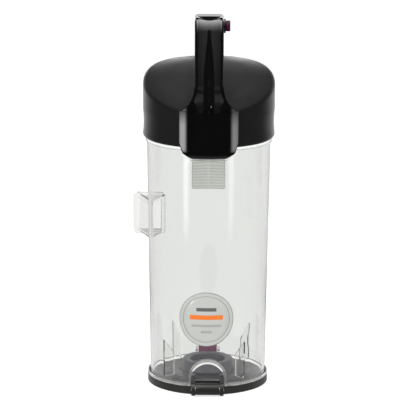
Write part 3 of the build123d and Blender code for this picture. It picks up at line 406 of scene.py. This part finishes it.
def makeGrained(look):
    mat, tree, out = blankMaterial(look["name"])
    coords = coordsNode(tree, "Object")
    grain = placeGroup(
        tree, sparkGrain, -300, 0, Vector=coords, Scale=look["grain"],
        Low_Rough=look["lowRough"], High_Rough=look["highRough"],
    )
    shade = noiseNode(tree, coords, grainedShared["shadeScale"], detail=4.0, rough=0.6, x=-300, y=300)
    shader = principled(tree, out, {
        "Specular IOR Level": look["level"], "Sheen Weight": look.get("sheen", 0.0),
        "Sheen Roughness": grainedShared["sheenRough"],
    })
    colour = tintNode(tree, shade, look["dark"], look["light"])
    if "floor" in look:  # painted light: the flap's floor is paler for its lit upward face, and all inside the rim is paler than the knuckles
        x, y = axesNode(tree, coords, -700, 500)[:2]
        radius = radiusNode(tree, x, y)
        for tone, (near, far) in flapReach.items():
            mask = rangeNode(tree, radius, near * mm, far * mm, 1.0, 0.0)
            colour = tintNode(tree, mask, colour, look[tone])
    join(tree, colour, shader.inputs["Base Color"])
    join(tree, grain.outputs["Rough"], shader.inputs["Roughness"])
    dome = None
    if look.get("dome"):
        domeHeight = placeGroup(tree, lidDome, -300, -600, Vector=coords).outputs["Height"]
        dome = bumpNode(tree, domeHeight, 1.0, 1.0, 0, -600)
    normal = bumpNode(
        tree, grain.outputs["Height"], look["depth"], grainedShared["grainStrength"], under=dome,
    )
    join(tree, normal, shader.inputs["Normal"])
    return mat


polishedLooks = {
    "gloss_plastic": {
        "name": "pianoBlack", "dark": (0.0022, 0.0022, 0.0024), "light": (0.0032, 0.0032, 0.0035),
        "clean": 0.035, "smeared": 0.09, "scale": 28.0, "level": 0.5, "crown": True,
    },
    "purple_plastic": {
        "name": "darkPurple", "dark": (0.055, 0.004, 0.033), "light": (0.075, 0.0055, 0.045),
        "clean": 0.36, "smeared": 0.46, "scale": 45.0, "level": 0.2,
    },
    # painted light: a paler purple for light through the thin lever
    "lit_through_purple": {
        "name": "litThroughPurple", "dark": (0.3, 0.075, 0.19), "light": (0.35, 0.095, 0.23),
        "clean": 0.36, "smeared": 0.46, "scale": 45.0, "level": 0.2,
    },
}
swellLook = {"scale": 40.0, "depth": 0.00001}  # slow waviness of a polished moulding


def makePolished(look):
    mat, tree, out = blankMaterial(look["name"])
    coords = coordsNode(tree, "Object")
    haze = placeGroup(
        tree, handlingHaze, -300, 0, Vector=coords, Scale=look["scale"],
        Clean_Rough=look["clean"], Smeared_Rough=look["smeared"],
    )
    swell = noiseNode(tree, coords, swellLook["scale"], detail=1.0, rough=0.4, x=-300, y=-250)
    swell = mathNode(tree, "MULTIPLY", swell, swellLook["depth"])
    if look.get("crown"):
        crown = placeGroup(tree, gripCrown, -300, -400, Vector=coords)
        swell = mathNode(tree, "ADD", swell, crown.outputs["Height"])
    shader = principled(tree, out, {"Specular IOR Level": look["level"]})
    colour = tintNode(tree, haze.outputs["Smear"], look["dark"], look["light"])
    join(tree, colour, shader.inputs["Base Color"])
    join(tree, haze.outputs["Rough"], shader.inputs["Roughness"])
    join(tree, bumpNode(tree, swell, 1.0, 1.0), shader.inputs["Normal"])
    return mat


steelLook = {
    "dark": (0.5, 0.51, 0.52), "light": (0.62, 0.63, 0.64), "scale": 160.0, "clean": 0.22, "smeared": 0.4,
}


def makeSteel():
    mat, tree, out = blankMaterial("brightSteel")
    haze = placeGroup(
        tree, handlingHaze, -300, 0, Vector=coordsNode(tree, "Object"), Scale=steelLook["scale"],
        Clean_Rough=steelLook["clean"], Smeared_Rough=steelLook["smeared"],
    )
    shader = principled(tree, out, {"Metallic": 1.0})
    colour = tintNode(tree, haze.outputs["Smear"], steelLook["light"], steelLook["dark"])
    join(tree, colour, shader.inputs["Base Color"])
    join(tree, haze.outputs["Rough"], shader.inputs["Roughness"])
    return mat


rearLabelLook = {
    "film": (0.83, 0.84, 0.815), "rows": (0.43, 0.44, 0.42), "pitch": 105.0, "shadeScale": 300.0,
    "rough": 0.5, "paintedBackLight": 0.27, "seam": 0.7, "sideEdge": 16.7, "lowEdge": 184.9, "edgeShare": 0.85,
}


def makeRearLabel():
    # plain film with faint rows that show through from its outer face
    mat, tree, out = blankMaterial("rearLabelFilm")
    coords = coordsNode(tree, "Object")
    wave = newNode(tree, "ShaderNodeTexWave", -300, 200, bands_direction="Z")
    wave.inputs["Scale"].default_value = rearLabelLook["pitch"]
    wave.inputs["Distortion"].default_value = 0.0
    join(tree, coords, wave.inputs["Vector"])
    shade = noiseNode(tree, coords, rearLabelLook["shadeScale"], detail=3.0, rough=0.6, x=-300, y=-100)
    axes = axesNode(tree, coords, -600, 200)
    offSeam = mathNode(tree, "ABSOLUTE", axes["X"])
    columns = mathNode(tree, "GREATER_THAN", offSeam, rearLabelLook["seam"] * mm)
    rows = mathNode(tree, "MULTIPLY", wave.outputs["Fac"], shade)
    rows = mathNode(tree, "MULTIPLY", rows, columns, 0, 150)
    sides = mathNode(tree, "GREATER_THAN", offSeam, rearLabelLook["sideEdge"] * mm)
    foot = mathNode(tree, "LESS_THAN", axes["Z"], rearLabelLook["lowEdge"] * mm)
    border = mathNode(tree, "MULTIPLY", mathNode(tree, "MAXIMUM", sides, foot), rearLabelLook["edgeShare"])
    rows = mathNode(tree, "MAXIMUM", rows, border)
    shader = principled(tree, out, {
        "Roughness": rearLabelLook["rough"], "Emission Strength": rearLabelLook["paintedBackLight"],
    })
    colour = tintNode(tree, rows, rearLabelLook["film"], rearLabelLook["rows"])
    for label in ("Base Color", "Emission Color"):  # painted back-light: emission in the film's own colour stands in for daylight through the thin film
        join(tree, colour, shader.inputs[label])
    return mat


paleLabelLook = {
    "face": (0.52, 0.53, 0.505), "shade": (0.475, 0.485, 0.46), "rim": (0.5, 0.51, 0.485),
    "line": (0.27, 0.27, 0.26), "lineIn": 0.838, "rimIn": 0.86, "edgeIn": 0.972, "lineSoft": 0.008,
    "hazeScale": 60.0, "clean": 0.16, "smeared": 0.24, "shadeScale": 35.0, "coat": 0.3, "coatRough": 0.05,
    "bars": (
        {"y": 0.36, "half": 0.36, "thick": 0.065, "colour": (0.12, 0.12, 0.12)},
        {"y": 0.07, "half": 0.6, "thick": 0.085, "colour": (0.8, 0.2, 0.03)},
        {"y": -0.24, "half": 0.54, "thick": 0.045, "colour": (0.36, 0.36, 0.35)},
        {"y": -0.47, "half": 0.2, "thick": 0.045, "colour": (0.36, 0.36, 0.35)},
    ),
}


def makePaleLabel():
    # face and raised rim by distance from the middle of the label's map, with four plain bars across it
    mat, tree, out = blankMaterial("paleLabelFilm")
    coords = coordsNode(tree, "Object")
    haze = placeGroup(
        tree, handlingHaze, -300, 0, Vector=coords, Scale=paleLabelLook["hazeScale"],
        Clean_Rough=paleLabelLook["clean"], Smeared_Rough=paleLabelLook["smeared"],
    )
    shader = principled(tree, out, {
        "Coat Weight": paleLabelLook["coat"], "Coat Roughness": paleLabelLook["coatRough"],
    })
    shade = noiseNode(tree, coords, paleLabelLook["shadeScale"], detail=2.0, rough=0.5, x=-300, y=250)
    colour = tintNode(tree, shade, paleLabelLook["shade"], paleLabelLook["face"], -100, 300)
    u, v = axesNode(tree, coordsNode(tree, "UV", -900, 500), -700, 500)[:2]
    across = rangeNode(tree, u, 0.0, 1.0, -1.0, 1.0, -600, 600, smooth=False)
    along = rangeNode(tree, v, 0.0, 1.0, -1.0, 1.0, -600, 400, smooth=False)
    reach = radiusNode(tree, across, along)
    soft = paleLabelLook["lineSoft"]
    for start, paint in (("lineIn", "line"), ("rimIn", "rim"), ("edgeIn", "line")):
        edge = paleLabelLook[start]
        mask = rangeNode(tree, reach, edge - soft, edge + soft, 0.0, 1.0)
        colour = tintNode(tree, mask, colour, paleLabelLook[paint])
    for bar in paleLabelLook["bars"]:
        ends = mathNode(tree, "SUBTRACT", mathNode(tree, "ABSOLUTE", across), bar["half"])
        offLine = mathNode(tree, "ABSOLUTE", mathNode(tree, "SUBTRACT", along, bar["y"]))
        outside = mathNode(tree, "MAXIMUM", ends, mathNode(tree, "SUBTRACT", offLine, bar["thick"]))
        mask = rangeNode(tree, outside, -soft, soft, 1.0, 0.0)
        colour = tintNode(tree, mask, colour, bar["colour"])
    join(tree, colour, shader.inputs["Base Color"])
    join(tree, haze.outputs["Rough"], shader.inputs["Roughness"])
    return mat


finishes = {slot: makeGrained(look) for slot, look in grainedLooks.items()}
finishes.update({slot: makePolished(look) for slot, look in polishedLooks.items()})
finishes["clear_plastic"] = makeClearPlastic()
finishes["steel"] = makeSteel()
finishes["grey_label"] = makeRearLabel()
finishes["pale_label"] = makePaleLabel()
slotOf = {row["node"]: row["material_slot"] for row in frame["record"]["subparts"]}
ownFinish = {"base_catch": "lit_through_purple"}  # painted light: the lever's paler purple stands in for light coming through its thinner moulding
for name, obj in nodes.items():
    obj.data.materials.clear()
    obj.data.materials.append(finishes[ownFinish.get(name, slotOf[name])])
print("finishes placed on", len(nodes), "solids")


# surfaces of the new pieces

def ringStrips(counts, looped):
    # faces between each ring of vertex numbers and the next; a ring of one number is a pole
    starts = np.cumsum([0, *counts])
    rings = [np.arange(start, start + count) for start, count in zip(starts, counts)]
    strips = []
    for first, second in zip(rings, rings[1:] + rings[:1] if looped else rings[1:]):
        if len(first) == 1:
            columns = (np.broadcast_to(first, len(second)), np.roll(second, -1), second)
        elif len(second) == 1:
            columns = (first, np.roll(first, -1), np.broadcast_to(second, len(first)))
        else:
            columns = (first, np.roll(first, -1), np.roll(second, -1), second)
        strips.append(np.stack(columns, 1))
    return strips


def outward(points, strips):
    # the volume under all faces is positive when they look outward; otherwise every face is turned
    volume = 0.0
    for strip in strips:
        first = points[strip[:, 0]]
        for k in range(1, strip.shape[1] - 1):
            volume += np.sum(first * np.cross(points[strip[:, k]], points[strip[:, k + 1]]))
    return strips if volume > 0 else [strip[:, ::-1] for strip in strips]


def meshOf(name, parts, creaseDegrees=38.0):
    # each part is a list of rings of points with its looped flag
    points = []
    faces = []
    for rings, looped in parts:
        partPoints = np.concatenate(rings)
        for strip in outward(partPoints, ringStrips([len(ring) for ring in rings], looped)):
            faces += (strip + len(points)).tolist()
        points += partPoints.tolist()
    mesh = bpy.data.meshes.new(name)
    mesh.from_pydata(points, [], faces)
    mesh.shade_smooth()
    mesh.set_sharp_from_angle(angle=math.radians(creaseDegrees))
    return mesh


def addPiece(name, mesh, body, slot, replaced):
    mesh.materials.append(finishes[slot])
    piece = bpy.data.objects.new(name, mesh)
    scene.collection.objects.link(piece)
    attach(piece, body)
    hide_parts(replaced)
    return piece


def fullTurn(count):
    return np.linspace(0, 2 * np.pi, count, endpoint=False)


def withPoles(grid, radii):
    # rows of a grid as rings, where a row of no radius is one point
    return [row if radius else row[:1] for row, radius in zip(grid, radii)]


def turnedRings(profile, turns):
    # radius and height of each profile point carried round the upright axis
    angles = fullTurn(turns)
    radii, heights = np.array(profile).T
    across = radii[:, None] * np.cos(angles)
    deep = radii[:, None] * np.sin(angles)
    up = np.broadcast_to(heights[:, None], across.shape)
    return withPoles(np.stack([across, deep, up], 2), radii)


def roundedCorner(before, corner, after, radius, steps=6):
    # points of an arc that softens a corner: a quadratic sweep between two points set back from it
    before, corner, after = (np.asarray(p, float) for p in (before, corner, after))
    setIn = corner + (before - corner) / np.linalg.norm(before - corner) * radius
    setOut = corner + (after - corner) / np.linalg.norm(after - corner) * radius
    s = np.linspace(0, 1, steps)[:, None]
    return ((1 - s) ** 2 * setIn + 2 * s * (1 - s) * corner + s ** 2 * setOut).tolist()


# dust collar on the flap: a soft conical ring with rounded lips and a shallow dished top

collarLook = {
    "bore": 17.5, "topRadius": 25.0, "footLip": 1.1, "footRise": 1.3, "lipShare": 0.6, "dish": 0.7,
    "bellSag": 0.35, "turns": 128,
    "rounds": (0.2, 0.3, 0.4, 0.5, 2.5, 1.5, 1.1),  # one for each corner, from the foot of the bore outward
}


def makeDustCollar():
    # profile of rounded corners turned round the axis and closed on itself
    low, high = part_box("dust_seal")
    foot = (high[0] - low[0]) / 2
    bore, topRadius = collarLook["bore"] * mm, collarLook["topRadius"] * mm
    lip, rise = collarLook["footLip"] * mm, collarLook["footRise"] * mm
    bottom, top = low[2], high[2]
    bell = (foot - lip + topRadius) / 2 - collarLook["bellSag"] * mm
    corners = [
        (bore, bottom), (foot, bottom), (foot, bottom + rise * collarLook["lipShare"]),
        (foot - lip, bottom + rise), (bell, (bottom + rise + top) / 2),
        (topRadius, top), (bore, top - collarLook["dish"] * mm),
    ]
    profile = []
    for k, rounding in enumerate(collarLook["rounds"]):
        after = corners[(k + 1) % len(corners)]
        profile += roundedCorner(corners[k - 1], corners[k], after, rounding * mm)
    rings = turnedRings(profile, collarLook["turns"])
    addPiece("dustCollar", meshOf("dustCollar", [(rings, True)]), "flap", "grey_rubber", "dust_seal")


# round label: a disc wrapped on the drafted wall with a groove and a raised rim

labelLook = {
    "draft": 0.0165, "turns": 160, "crease": 50.0,
    "profile": (  # share of the radius, height over the wall
        (0.0, 0.30), (0.25, 0.30), (0.5, 0.30), (0.7, 0.30), (0.828, 0.30), (0.836, 0.18), (0.852, 0.18),
        (0.862, 0.37), (0.885, 0.42), (0.95, 0.42), (0.978, 0.39), (0.994, 0.30), (1.0, 0.2), (1.0, 0.12),
        (0.7, 0.12), (0.4, 0.12), (0.0, 0.12),
    ),
}


def makeLabelDisc():
    # profile carried round the label's middle and bent to the wall, whose radius grows upward
    low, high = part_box("round_label")
    radius = (high[2] - low[2]) / 2
    middle = (high[2] + low[2]) / 2
    shares, heights = np.array(labelLook["profile"]).T
    wallTop = -low[1] - heights.max() * mm
    wallMiddle = wallTop - labelLook["draft"] * radius
    lean = math.asin((high[0] + low[0]) / 2 / wallMiddle)
    angles = fullTurn(labelLook["turns"])
    across = shares[:, None] * radius * np.cos(angles)
    up = shares[:, None] * radius * np.sin(angles)
    reach = wallMiddle + labelLook["draft"] * up + heights[:, None] * mm
    turn = lean + across / wallMiddle
    grid = np.stack([reach * np.sin(turn), -reach * np.cos(turn), middle + up], 2)
    mesh = meshOf("labelDisc", [(withPoles(grid, shares), False)], labelLook["crease"])
    places = np.concatenate(withPoles(np.stack([across, up], 2) / radius * 0.5 + 0.5, shares))
    layer = mesh.uv_layers.new(name="labelMap")
    corners = np.empty(len(mesh.loops), dtype=np.int32)
    mesh.loops.foreach_get("vertex_index", corners)
    layer.data.foreach_set("uv", places[corners].ravel())
    addPiece("labelDisc", mesh, "bin", "pale_label", "round_label")


# coil springs of round wire

coilLooks = {
    "catchCoil": {
        "node": "catch_spring", "body": "bin", "joint": "catch_hinge", "axis": (0.0, 1.0, 0.0),
        "wire": 0.4, "turns": 4.0, "endTurns": 1.0, "keep": 0.68,
    },
    "boltCoil": {
        "node": "bolt_spring", "body": "lid", "joint": "button_press", "axis": (0.0, 0.9916714, -0.1287956),
        "wire": 0.4, "turns": 6.0, "endTurns": 1.0, "keep": 0.765,
    },
}
coilShared = {"around": 12, "perTurn": 30, "endPitch": 2.1, "crease": 60.0}


def makeCoil(name, look):
    # a circle carried along a helix whose first and last turns lie flat
    low, high = (Vector(corner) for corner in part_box(look["node"]))
    axis = Vector(look["axis"]).normalized()
    side = Vector((1, 0, 0))
    outer = (high.x - low.x) / 2
    length = ((high.y - low.y) - 2 * outer * abs(axis.z)) / abs(axis.y)
    wire = look["wire"] * mm
    start = (low + high) / 2 - axis * (length / 2)
    endTurns = look["endTurns"]
    total = look["turns"] + 2 * endTurns
    turn = np.linspace(0, total, int(total * coilShared["perTurn"]))
    flat = coilShared["endPitch"] * wire * endTurns
    rise = np.interp(
        turn, [0, endTurns, total - endTurns, total],
        [wire, wire + flat, length - wire - flat, length - wire],
    )
    angle = 2 * np.pi * turn[:, None]
    out = np.cos(angle) * np.array(side) + np.sin(angle) * np.array(axis.cross(side))
    path = np.array(start) + (outer - wire) * out + rise[:, None] * np.array(axis)
    along = np.gradient(path, axis=0)
    along /= np.linalg.norm(along, axis=1)[:, None]
    across = np.cross(along, out)
    around = fullTurn(coilShared["around"])[:, None]
    tube = path[:, None] + wire * (np.cos(around) * out[:, None] + np.sin(around) * across[:, None])
    mesh = meshOf(name, [([path[:1], *tube, path[-1:]], False)], coilShared["crease"])
    piece = addPiece(name, mesh, look["body"], "steel", look["node"])
    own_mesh(piece)


# cross-recessed screws under the lid

screwLook = {
    "headRound": 0.5, "roundShare": 0.3, "armHalf": 0.42, "armReach": 1.75, "recess": 1.1, "recessSoft": 0.16,
    "shank": 1.5, "headTall": 2.2, "turns": 64, "faceSteps": 16,
}


def screwRings(foot, headRadius, tip):
    # head face by radius and angle, sunk where a point lies in one of two crossed arms;
    # then edge, shank and tip
    angles = fullTurn(screwLook["turns"])
    recess, soft = screwLook["recess"] * mm, screwLook["recessSoft"] * mm
    arm, reach = screwLook["armHalf"] * mm, screwLook["armReach"] * mm
    head, shank = screwLook["headTall"] * mm, screwLook["shank"] * mm
    edge = screwLook["headRound"] * mm
    bevel = edge * screwLook["roundShare"]
    radii = np.linspace(0, headRadius - edge, screwLook["faceSteps"] + 1)
    x, y = radii[:, None] * np.cos(angles), radii[:, None] * np.sin(angles)
    near = np.minimum(np.abs(x), np.abs(y)) - arm
    outside = np.maximum(near, np.maximum(np.abs(x), np.abs(y)) - reach)
    sunk = recess * np.clip(0.5 - outside / soft, 0, 1)
    rings = withPoles(np.stack([x, y, sunk], 2), radii)
    outline = [
        (headRadius - bevel, bevel), (headRadius, edge), (headRadius, head), (shank, head),
        (shank, tip - shank), (0.0, tip),
    ]
    rings += turnedRings(outline, screwLook["turns"])
    return [ring + np.asarray(foot) for ring in rings]


def quarterBoxes(node):
    # the four screws of one solid lie one in each quarter around the middle of its box
    points = np.empty(3 * len(node.data.vertices), dtype=np.float32)
    node.data.vertices.foreach_get("co", points)
    matrix = np.array(node.matrix_world)
    points = points.reshape(-1, 3) @ matrix[:3, :3].T + matrix[:3, 3]
    middle = (points.min(0) + points.max(0)) / 2
    quarters = []
    for right in (False, True):
        for rear in (False, True):
            chosen = points[((points[:, 0] > middle[0]) == right) & ((points[:, 1] > middle[1]) == rear)]
            quarters.append((chosen.min(0), chosen.max(0)))
    return quarters


def makeScrews(name, node):
    parts = []
    for low, high in quarterBoxes(nodes[node]):
        foot = ((low[0] + high[0]) / 2, (low[1] + high[1]) / 2, low[2])
        parts.append((screwRings(foot, (high[0] - low[0]) / 2, high[2] - low[2]), False))
    addPiece(name, meshOf(name, parts), "lid", "steel", node)


makeDustCollar()
makeLabelDisc()
for coilName, coilLook in coilLooks.items():
    makeCoil(coilName, coilLook)
makeScrews("linerScrewSet", "liner_screws")
makeScrews("handleScrewSet", "handle_screws")
print("collar, label, coils and screws made")


# floor, backdrop light and lamps

stageLook = {
    "floorRadius": 3.0, "floorTurns": 96, "floorDrop": 0.0004, "floorColour": 0.8, "floorLift": 0.72,
    "ambient": 0.4, "nearShine": 0.6, "nearRadius": 0.16, "farRadius": 0.42, "frontShine": 0.02,
    "rearFrom": 0.2, "rearTo": 0.6, "rearShine": 0.45,
}


def stackRays(tree, path, base, layers, x=300):
    under = base
    for step, (ray, over) in enumerate(layers):
        mix = newNode(tree, "ShaderNodeMixShader", x + 180 * step, 0)
        join(tree, path.outputs[ray], mix.inputs[0])
        join(tree, under.outputs[0], mix.inputs[1])
        join(tree, over.outputs[0], mix.inputs[2])
        under = mix
    return under


def makeFloorMaterial():
    mat, tree, out = blankMaterial("paleFloor")
    path = newNode(tree, "ShaderNodeLightPath", -600, 300)
    plain = newNode(tree, "ShaderNodeBsdfDiffuse", 0, 0)
    plain.inputs["Color"].default_value = grey(stageLook["floorColour"])
    lift = newNode(tree, "ShaderNodeEmission", 0, -150)
    lift.inputs["Strength"].default_value = stageLook["floorLift"]
    seen = newNode(tree, "ShaderNodeAddShader", 200, -50)
    join(tree, plain.outputs[0], seen.inputs[0])
    join(tree, lift.outputs[0], seen.inputs[1])
    # what glossy surfaces see: a pale table round the bin that fades out, and a pale stretch far behind it
    x, y = axesNode(tree, coordsNode(tree, "Object", -600, -300), -400, -300)[:2]
    fade = rangeNode(
        tree, radiusNode(tree, x, y), stageLook["nearRadius"], stageLook["farRadius"],
        stageLook["nearShine"], stageLook["frontShine"], -200, -300,
    )
    rear = rangeNode(
        tree, y, stageLook["rearFrom"], stageLook["rearTo"], 0.0, stageLook["rearShine"], -200, -450,
    )
    shine = newNode(tree, "ShaderNodeEmission", 0, -300)
    join(tree, mathNode(tree, "MAXIMUM", fade, rear), shine.inputs["Strength"])
    white = newNode(tree, "ShaderNodeEmission", 200, -450)
    layers = (("Is Camera Ray", seen), ("Is Glossy Ray", shine), ("Is Transmission Ray", white))
    join(tree, stackRays(tree, path, plain, layers).outputs[0], out.inputs["Surface"])
    return mat


def makeFloor():
    # flat disc: radius against angle
    turns = fullTurn(stageLook["floorTurns"])
    ring = np.stack([np.cos(turns), np.sin(turns), np.zeros_like(turns)], 1) * stageLook["floorRadius"]
    ring[:, 2] = -stageLook["floorDrop"]
    mesh = bpy.data.meshes.new("floor")
    mesh.from_pydata(ring.tolist(), [], [list(range(len(ring)))])
    floor = bpy.data.objects.new("floor", mesh)
    scene.collection.objects.link(floor)
    mesh.materials.append(makeFloorMaterial())


skyLook = {
    "scale": 12.0, "sideShine": 0.04, "sideIn": 0.04, "sideOut": 0.24, "backIn": 0.3, "backOut": 0.6,
    "bowReach": 0.108, "bowPower": 1.6, "edgeMiddle": 0.56, "edgeSide": 0.71, "edgeSoft": 0.014,
    "backFrom": 0.93, "backTo": 0.97, "backShine": 4.5, "lowFrom": 0.985, "lowTo": 1.02, "lowDrop": 3.92,
    "wrapLow": -0.5, "wrapHigh": 1.5,
    "stops": (  # share of the half turn from the front over the top to the back, brightness
        (0.0, 0.05), (0.006, 0.05), (0.012, 0.5), (0.05, 0.6), (0.15, 1.7), (0.26, 3.15), (0.43, 6.9),
        (0.55, 8.4), (1.0, 8.4),
    ),
}


def makeWorld():
    world = bpy.data.worlds.new("studio")
    world.use_nodes = True
    scene.world = world
    tree = world.node_tree
    tree.nodes.clear()
    out = newNode(tree, "ShaderNodeOutputWorld", 1500, 0)
    path = newNode(tree, "ShaderNodeLightPath", 300, 400)
    x, y, z = axesNode(tree, coordsNode(tree, "Generated"), -700, 0)[:3]
    # what glossy surfaces see: a ceiling that brightens overhead to a bowed edge,
    # a dark gap behind it, then a white backdrop
    turn = mathNode(tree, "ARCTAN2", z, mathNode(tree, "MULTIPLY", y, -1.0))
    wrap = newNode(tree, "ShaderNodeMath", operation="WRAP")
    join(tree, mathNode(tree, "DIVIDE", turn, math.pi), wrap.inputs[0])
    wrap.inputs[1].default_value = skyLook["wrapHigh"]
    wrap.inputs[2].default_value = skyLook["wrapLow"]
    share = wrap.outputs[0]
    offMiddle = mathNode(tree, "ABSOLUTE", x)
    bow = mathNode(tree, "DIVIDE", offMiddle, skyLook["bowReach"], clamp=True)
    bow = mathNode(tree, "POWER", bow, skyLook["bowPower"])
    edge = rangeNode(tree, bow, 0.0, 1.0, skyLook["edgeMiddle"], skyLook["edgeSide"], smooth=False)
    beforeEdge = mathNode(tree, "SUBTRACT", edge, share)
    inside = rangeNode(tree, beforeEdge, -skyLook["edgeSoft"], skyLook["edgeSoft"], 0.0, skyLook["scale"])
    stops = [(place, level / skyLook["scale"]) for place, level in skyLook["stops"]]
    ceiling = mathNode(tree, "MULTIPLY", rampNode(tree, share, stops), inside)
    high = rangeNode(tree, share, skyLook["backFrom"], skyLook["backTo"], 0.0, skyLook["backShine"])
    fall = rangeNode(tree, share, skyLook["lowFrom"], skyLook["lowTo"], 0.0, skyLook["lowDrop"])
    level = skyLook["sideShine"]
    for part, label in ((ceiling, "side"), (mathNode(tree, "SUBTRACT", high, fall), "back")):
        lane = rangeNode(tree, offMiddle, skyLook[label + "In"], skyLook[label + "Out"], 1.0, 0.0)
        level = mathNode(tree, "MAXIMUM", mathNode(tree, "MULTIPLY", part, lane), level)
    shine = newNode(tree, "ShaderNodeBackground", 500, -200)
    join(tree, level, shine.inputs["Strength"])
    ambient = newNode(tree, "ShaderNodeBackground", 500, 0)
    ambient.inputs["Strength"].default_value = stageLook["ambient"]
    white = newNode(tree, "ShaderNodeBackground", 500, 200)
    for node in (shine, ambient, white):
        node.inputs["Color"].default_value = grey(1)
    layers = (("Is Glossy Ray", shine), ("Is Transmission Ray", white), ("Is Camera Ray", white))
    join(tree, stackRays(tree, path, ambient, layers, 700).outputs[0], out.inputs["Surface"])


def aroundAxis(degrees, reach):
    # a place on the floor, turned about the upright axis from the front
    turn = math.radians(degrees)
    return Vector((math.sin(turn), -math.cos(turn), 0)) * reach


stripLooks = {
    "leftStrip": {"turn": -41.6, "shine": 8.7, "startSoft": 0.45, "endSoft": 0.4},
    "rightStrip": {"turn": 41.6, "shine": 5.2, "startSoft": 0.4, "endSoft": 0.45},
}
stripShared = {
    "reach": 0.62, "low": 0.0, "high": 0.185, "wide": 0.178,
    "rise": ((0.0, 0.0), (0.2, 0.42), (0.49, 0.62), (0.6, 0.66), (0.73, 1.0), (0.89, 1.0), (1.0, 0.0)),
}


def makeStripMaterial(name, look):
    # soft at the panel's sides, fading toward the floor and at its head
    mat, tree, out = blankMaterial(name + "Shine")
    u, v = axesNode(tree, coordsNode(tree, "UV"), -700, 0)[:2]
    start = rangeNode(tree, u, 0.0, look["startSoft"], 0.0, 1.0)
    end = rangeNode(tree, u, 1.0 - look["endSoft"], 1.0, 1.0, 0.0)
    level = mathNode(tree, "MULTIPLY", start, end)
    level = mathNode(tree, "MULTIPLY", level, rampNode(tree, v, stripShared["rise"]))
    shine = newNode(tree, "ShaderNodeEmission", 400, 0)
    join(tree, mathNode(tree, "MULTIPLY", level, look["shine"]), shine.inputs["Strength"])
    join(tree, shine.outputs[0], out.inputs["Surface"])
    return mat


def makeStrip(name, look):
    # upright panel seen only in reflections: its four corners by width and height
    middle = np.array(aroundAxis(look["turn"], stripShared["reach"]))
    side = np.array(aroundAxis(look["turn"] + 90, stripShared["wide"] / 2))
    corners = middle + np.array([-1, 1, 1, -1])[:, None] * side
    corners[:, 2] = np.repeat([stripShared["low"], stripShared["high"]], 2)
    mesh = bpy.data.meshes.new(name)
    mesh.from_pydata(corners.tolist(), [], [(0, 1, 2, 3)])
    layer = mesh.uv_layers.new(name="panelMap")
    layer.data.foreach_set("uv", np.array([0, 0, 1, 0, 1, 1, 0, 1], dtype=np.float32))
    mesh.materials.append(makeStripMaterial(name, look))
    panel = bpy.data.objects.new(name, mesh)
    for ray in ("camera", "diffuse", "transmission", "shadow", "volume_scatter"):
        setattr(panel, "visible_" + ray, False)
    scene.collection.objects.link(panel)


lampLooks = {
    "leftLamp": {"turn": -41.0, "reach": 0.62, "high": 0.95, "wide": 0.15, "watts": 3.3},
    "rightLamp": {"turn": 41.0, "reach": 0.62, "high": 0.95, "wide": 0.15, "watts": 2.5},
    "leftRearLamp": {"turn": -140.0, "reach": 0.8, "high": 0.9, "wide": 0.15, "watts": 1.6},
    "rightRearLamp": {"turn": 140.0, "reach": 0.8, "high": 0.9, "wide": 0.15, "watts": 1.6},
}
topLook = {"wide": 1.2, "deep": 0.9, "place": (0.0, 0.1, 1.5), "watts": 3.5}


def makeLamp(name, place, aim, wide, tall, watts):
    lamp = bpy.data.lights.new(name, "AREA")
    lamp.shape = "RECTANGLE"
    lamp.size = wide
    lamp.size_y = tall
    lamp.energy = watts
    obj = bpy.data.objects.new(name, lamp)
    obj.rotation_euler = aim.to_track_quat("-Z", "Y").to_euler()
    obj.location = place
    for ray in ("camera", "glossy", "transmission"):
        setattr(obj, "visible_" + ray, False)
    scene.collection.objects.link(obj)


makeFloor()
makeWorld()
for stripName, stripLook in stripLooks.items():
    makeStrip(stripName, stripLook)
for lampName, look in lampLooks.items():
    spot = aroundAxis(look["turn"], look["reach"])
    lift = Vector((0, 0, look["high"] / 2))  # each side lamp stands on the floor
    makeLamp(lampName, spot + lift, -spot, look["wide"], look["high"], look["watts"])
down = Vector((0, 0, -1))
makeLamp("topLamp", topLook["place"], down, topLook["wide"], topLook["deep"], topLook["watts"])
print("studio lit")


# camera at the photograph's place

cameraLook = {
    "place": (0.0, -3.3, 0.912), "pitch": 12.557, "roll": 0.3, "lens": 292.83, "shiftX": -0.00096,
    "sensor": 36.0, "clipEnd": 50.0,
}
camData = bpy.data.cameras.new("photoCamera")
camData.sensor_width = cameraLook["sensor"]
camData.lens = cameraLook["lens"]
camData.shift_x = cameraLook["shiftX"]
camData.clip_end = cameraLook["clipEnd"]
camera = bpy.data.objects.new("photoCamera", camData)
tilt = Matrix.Rotation(math.radians(90 - cameraLook["pitch"]), 4, "X")
roll = Matrix.Rotation(math.radians(cameraLook["roll"]), 4, "Z")
camera.matrix_world = Matrix.Translation(cameraLook["place"]) @ tilt @ roll
scene.collection.objects.link(camera)
scene.camera = camera
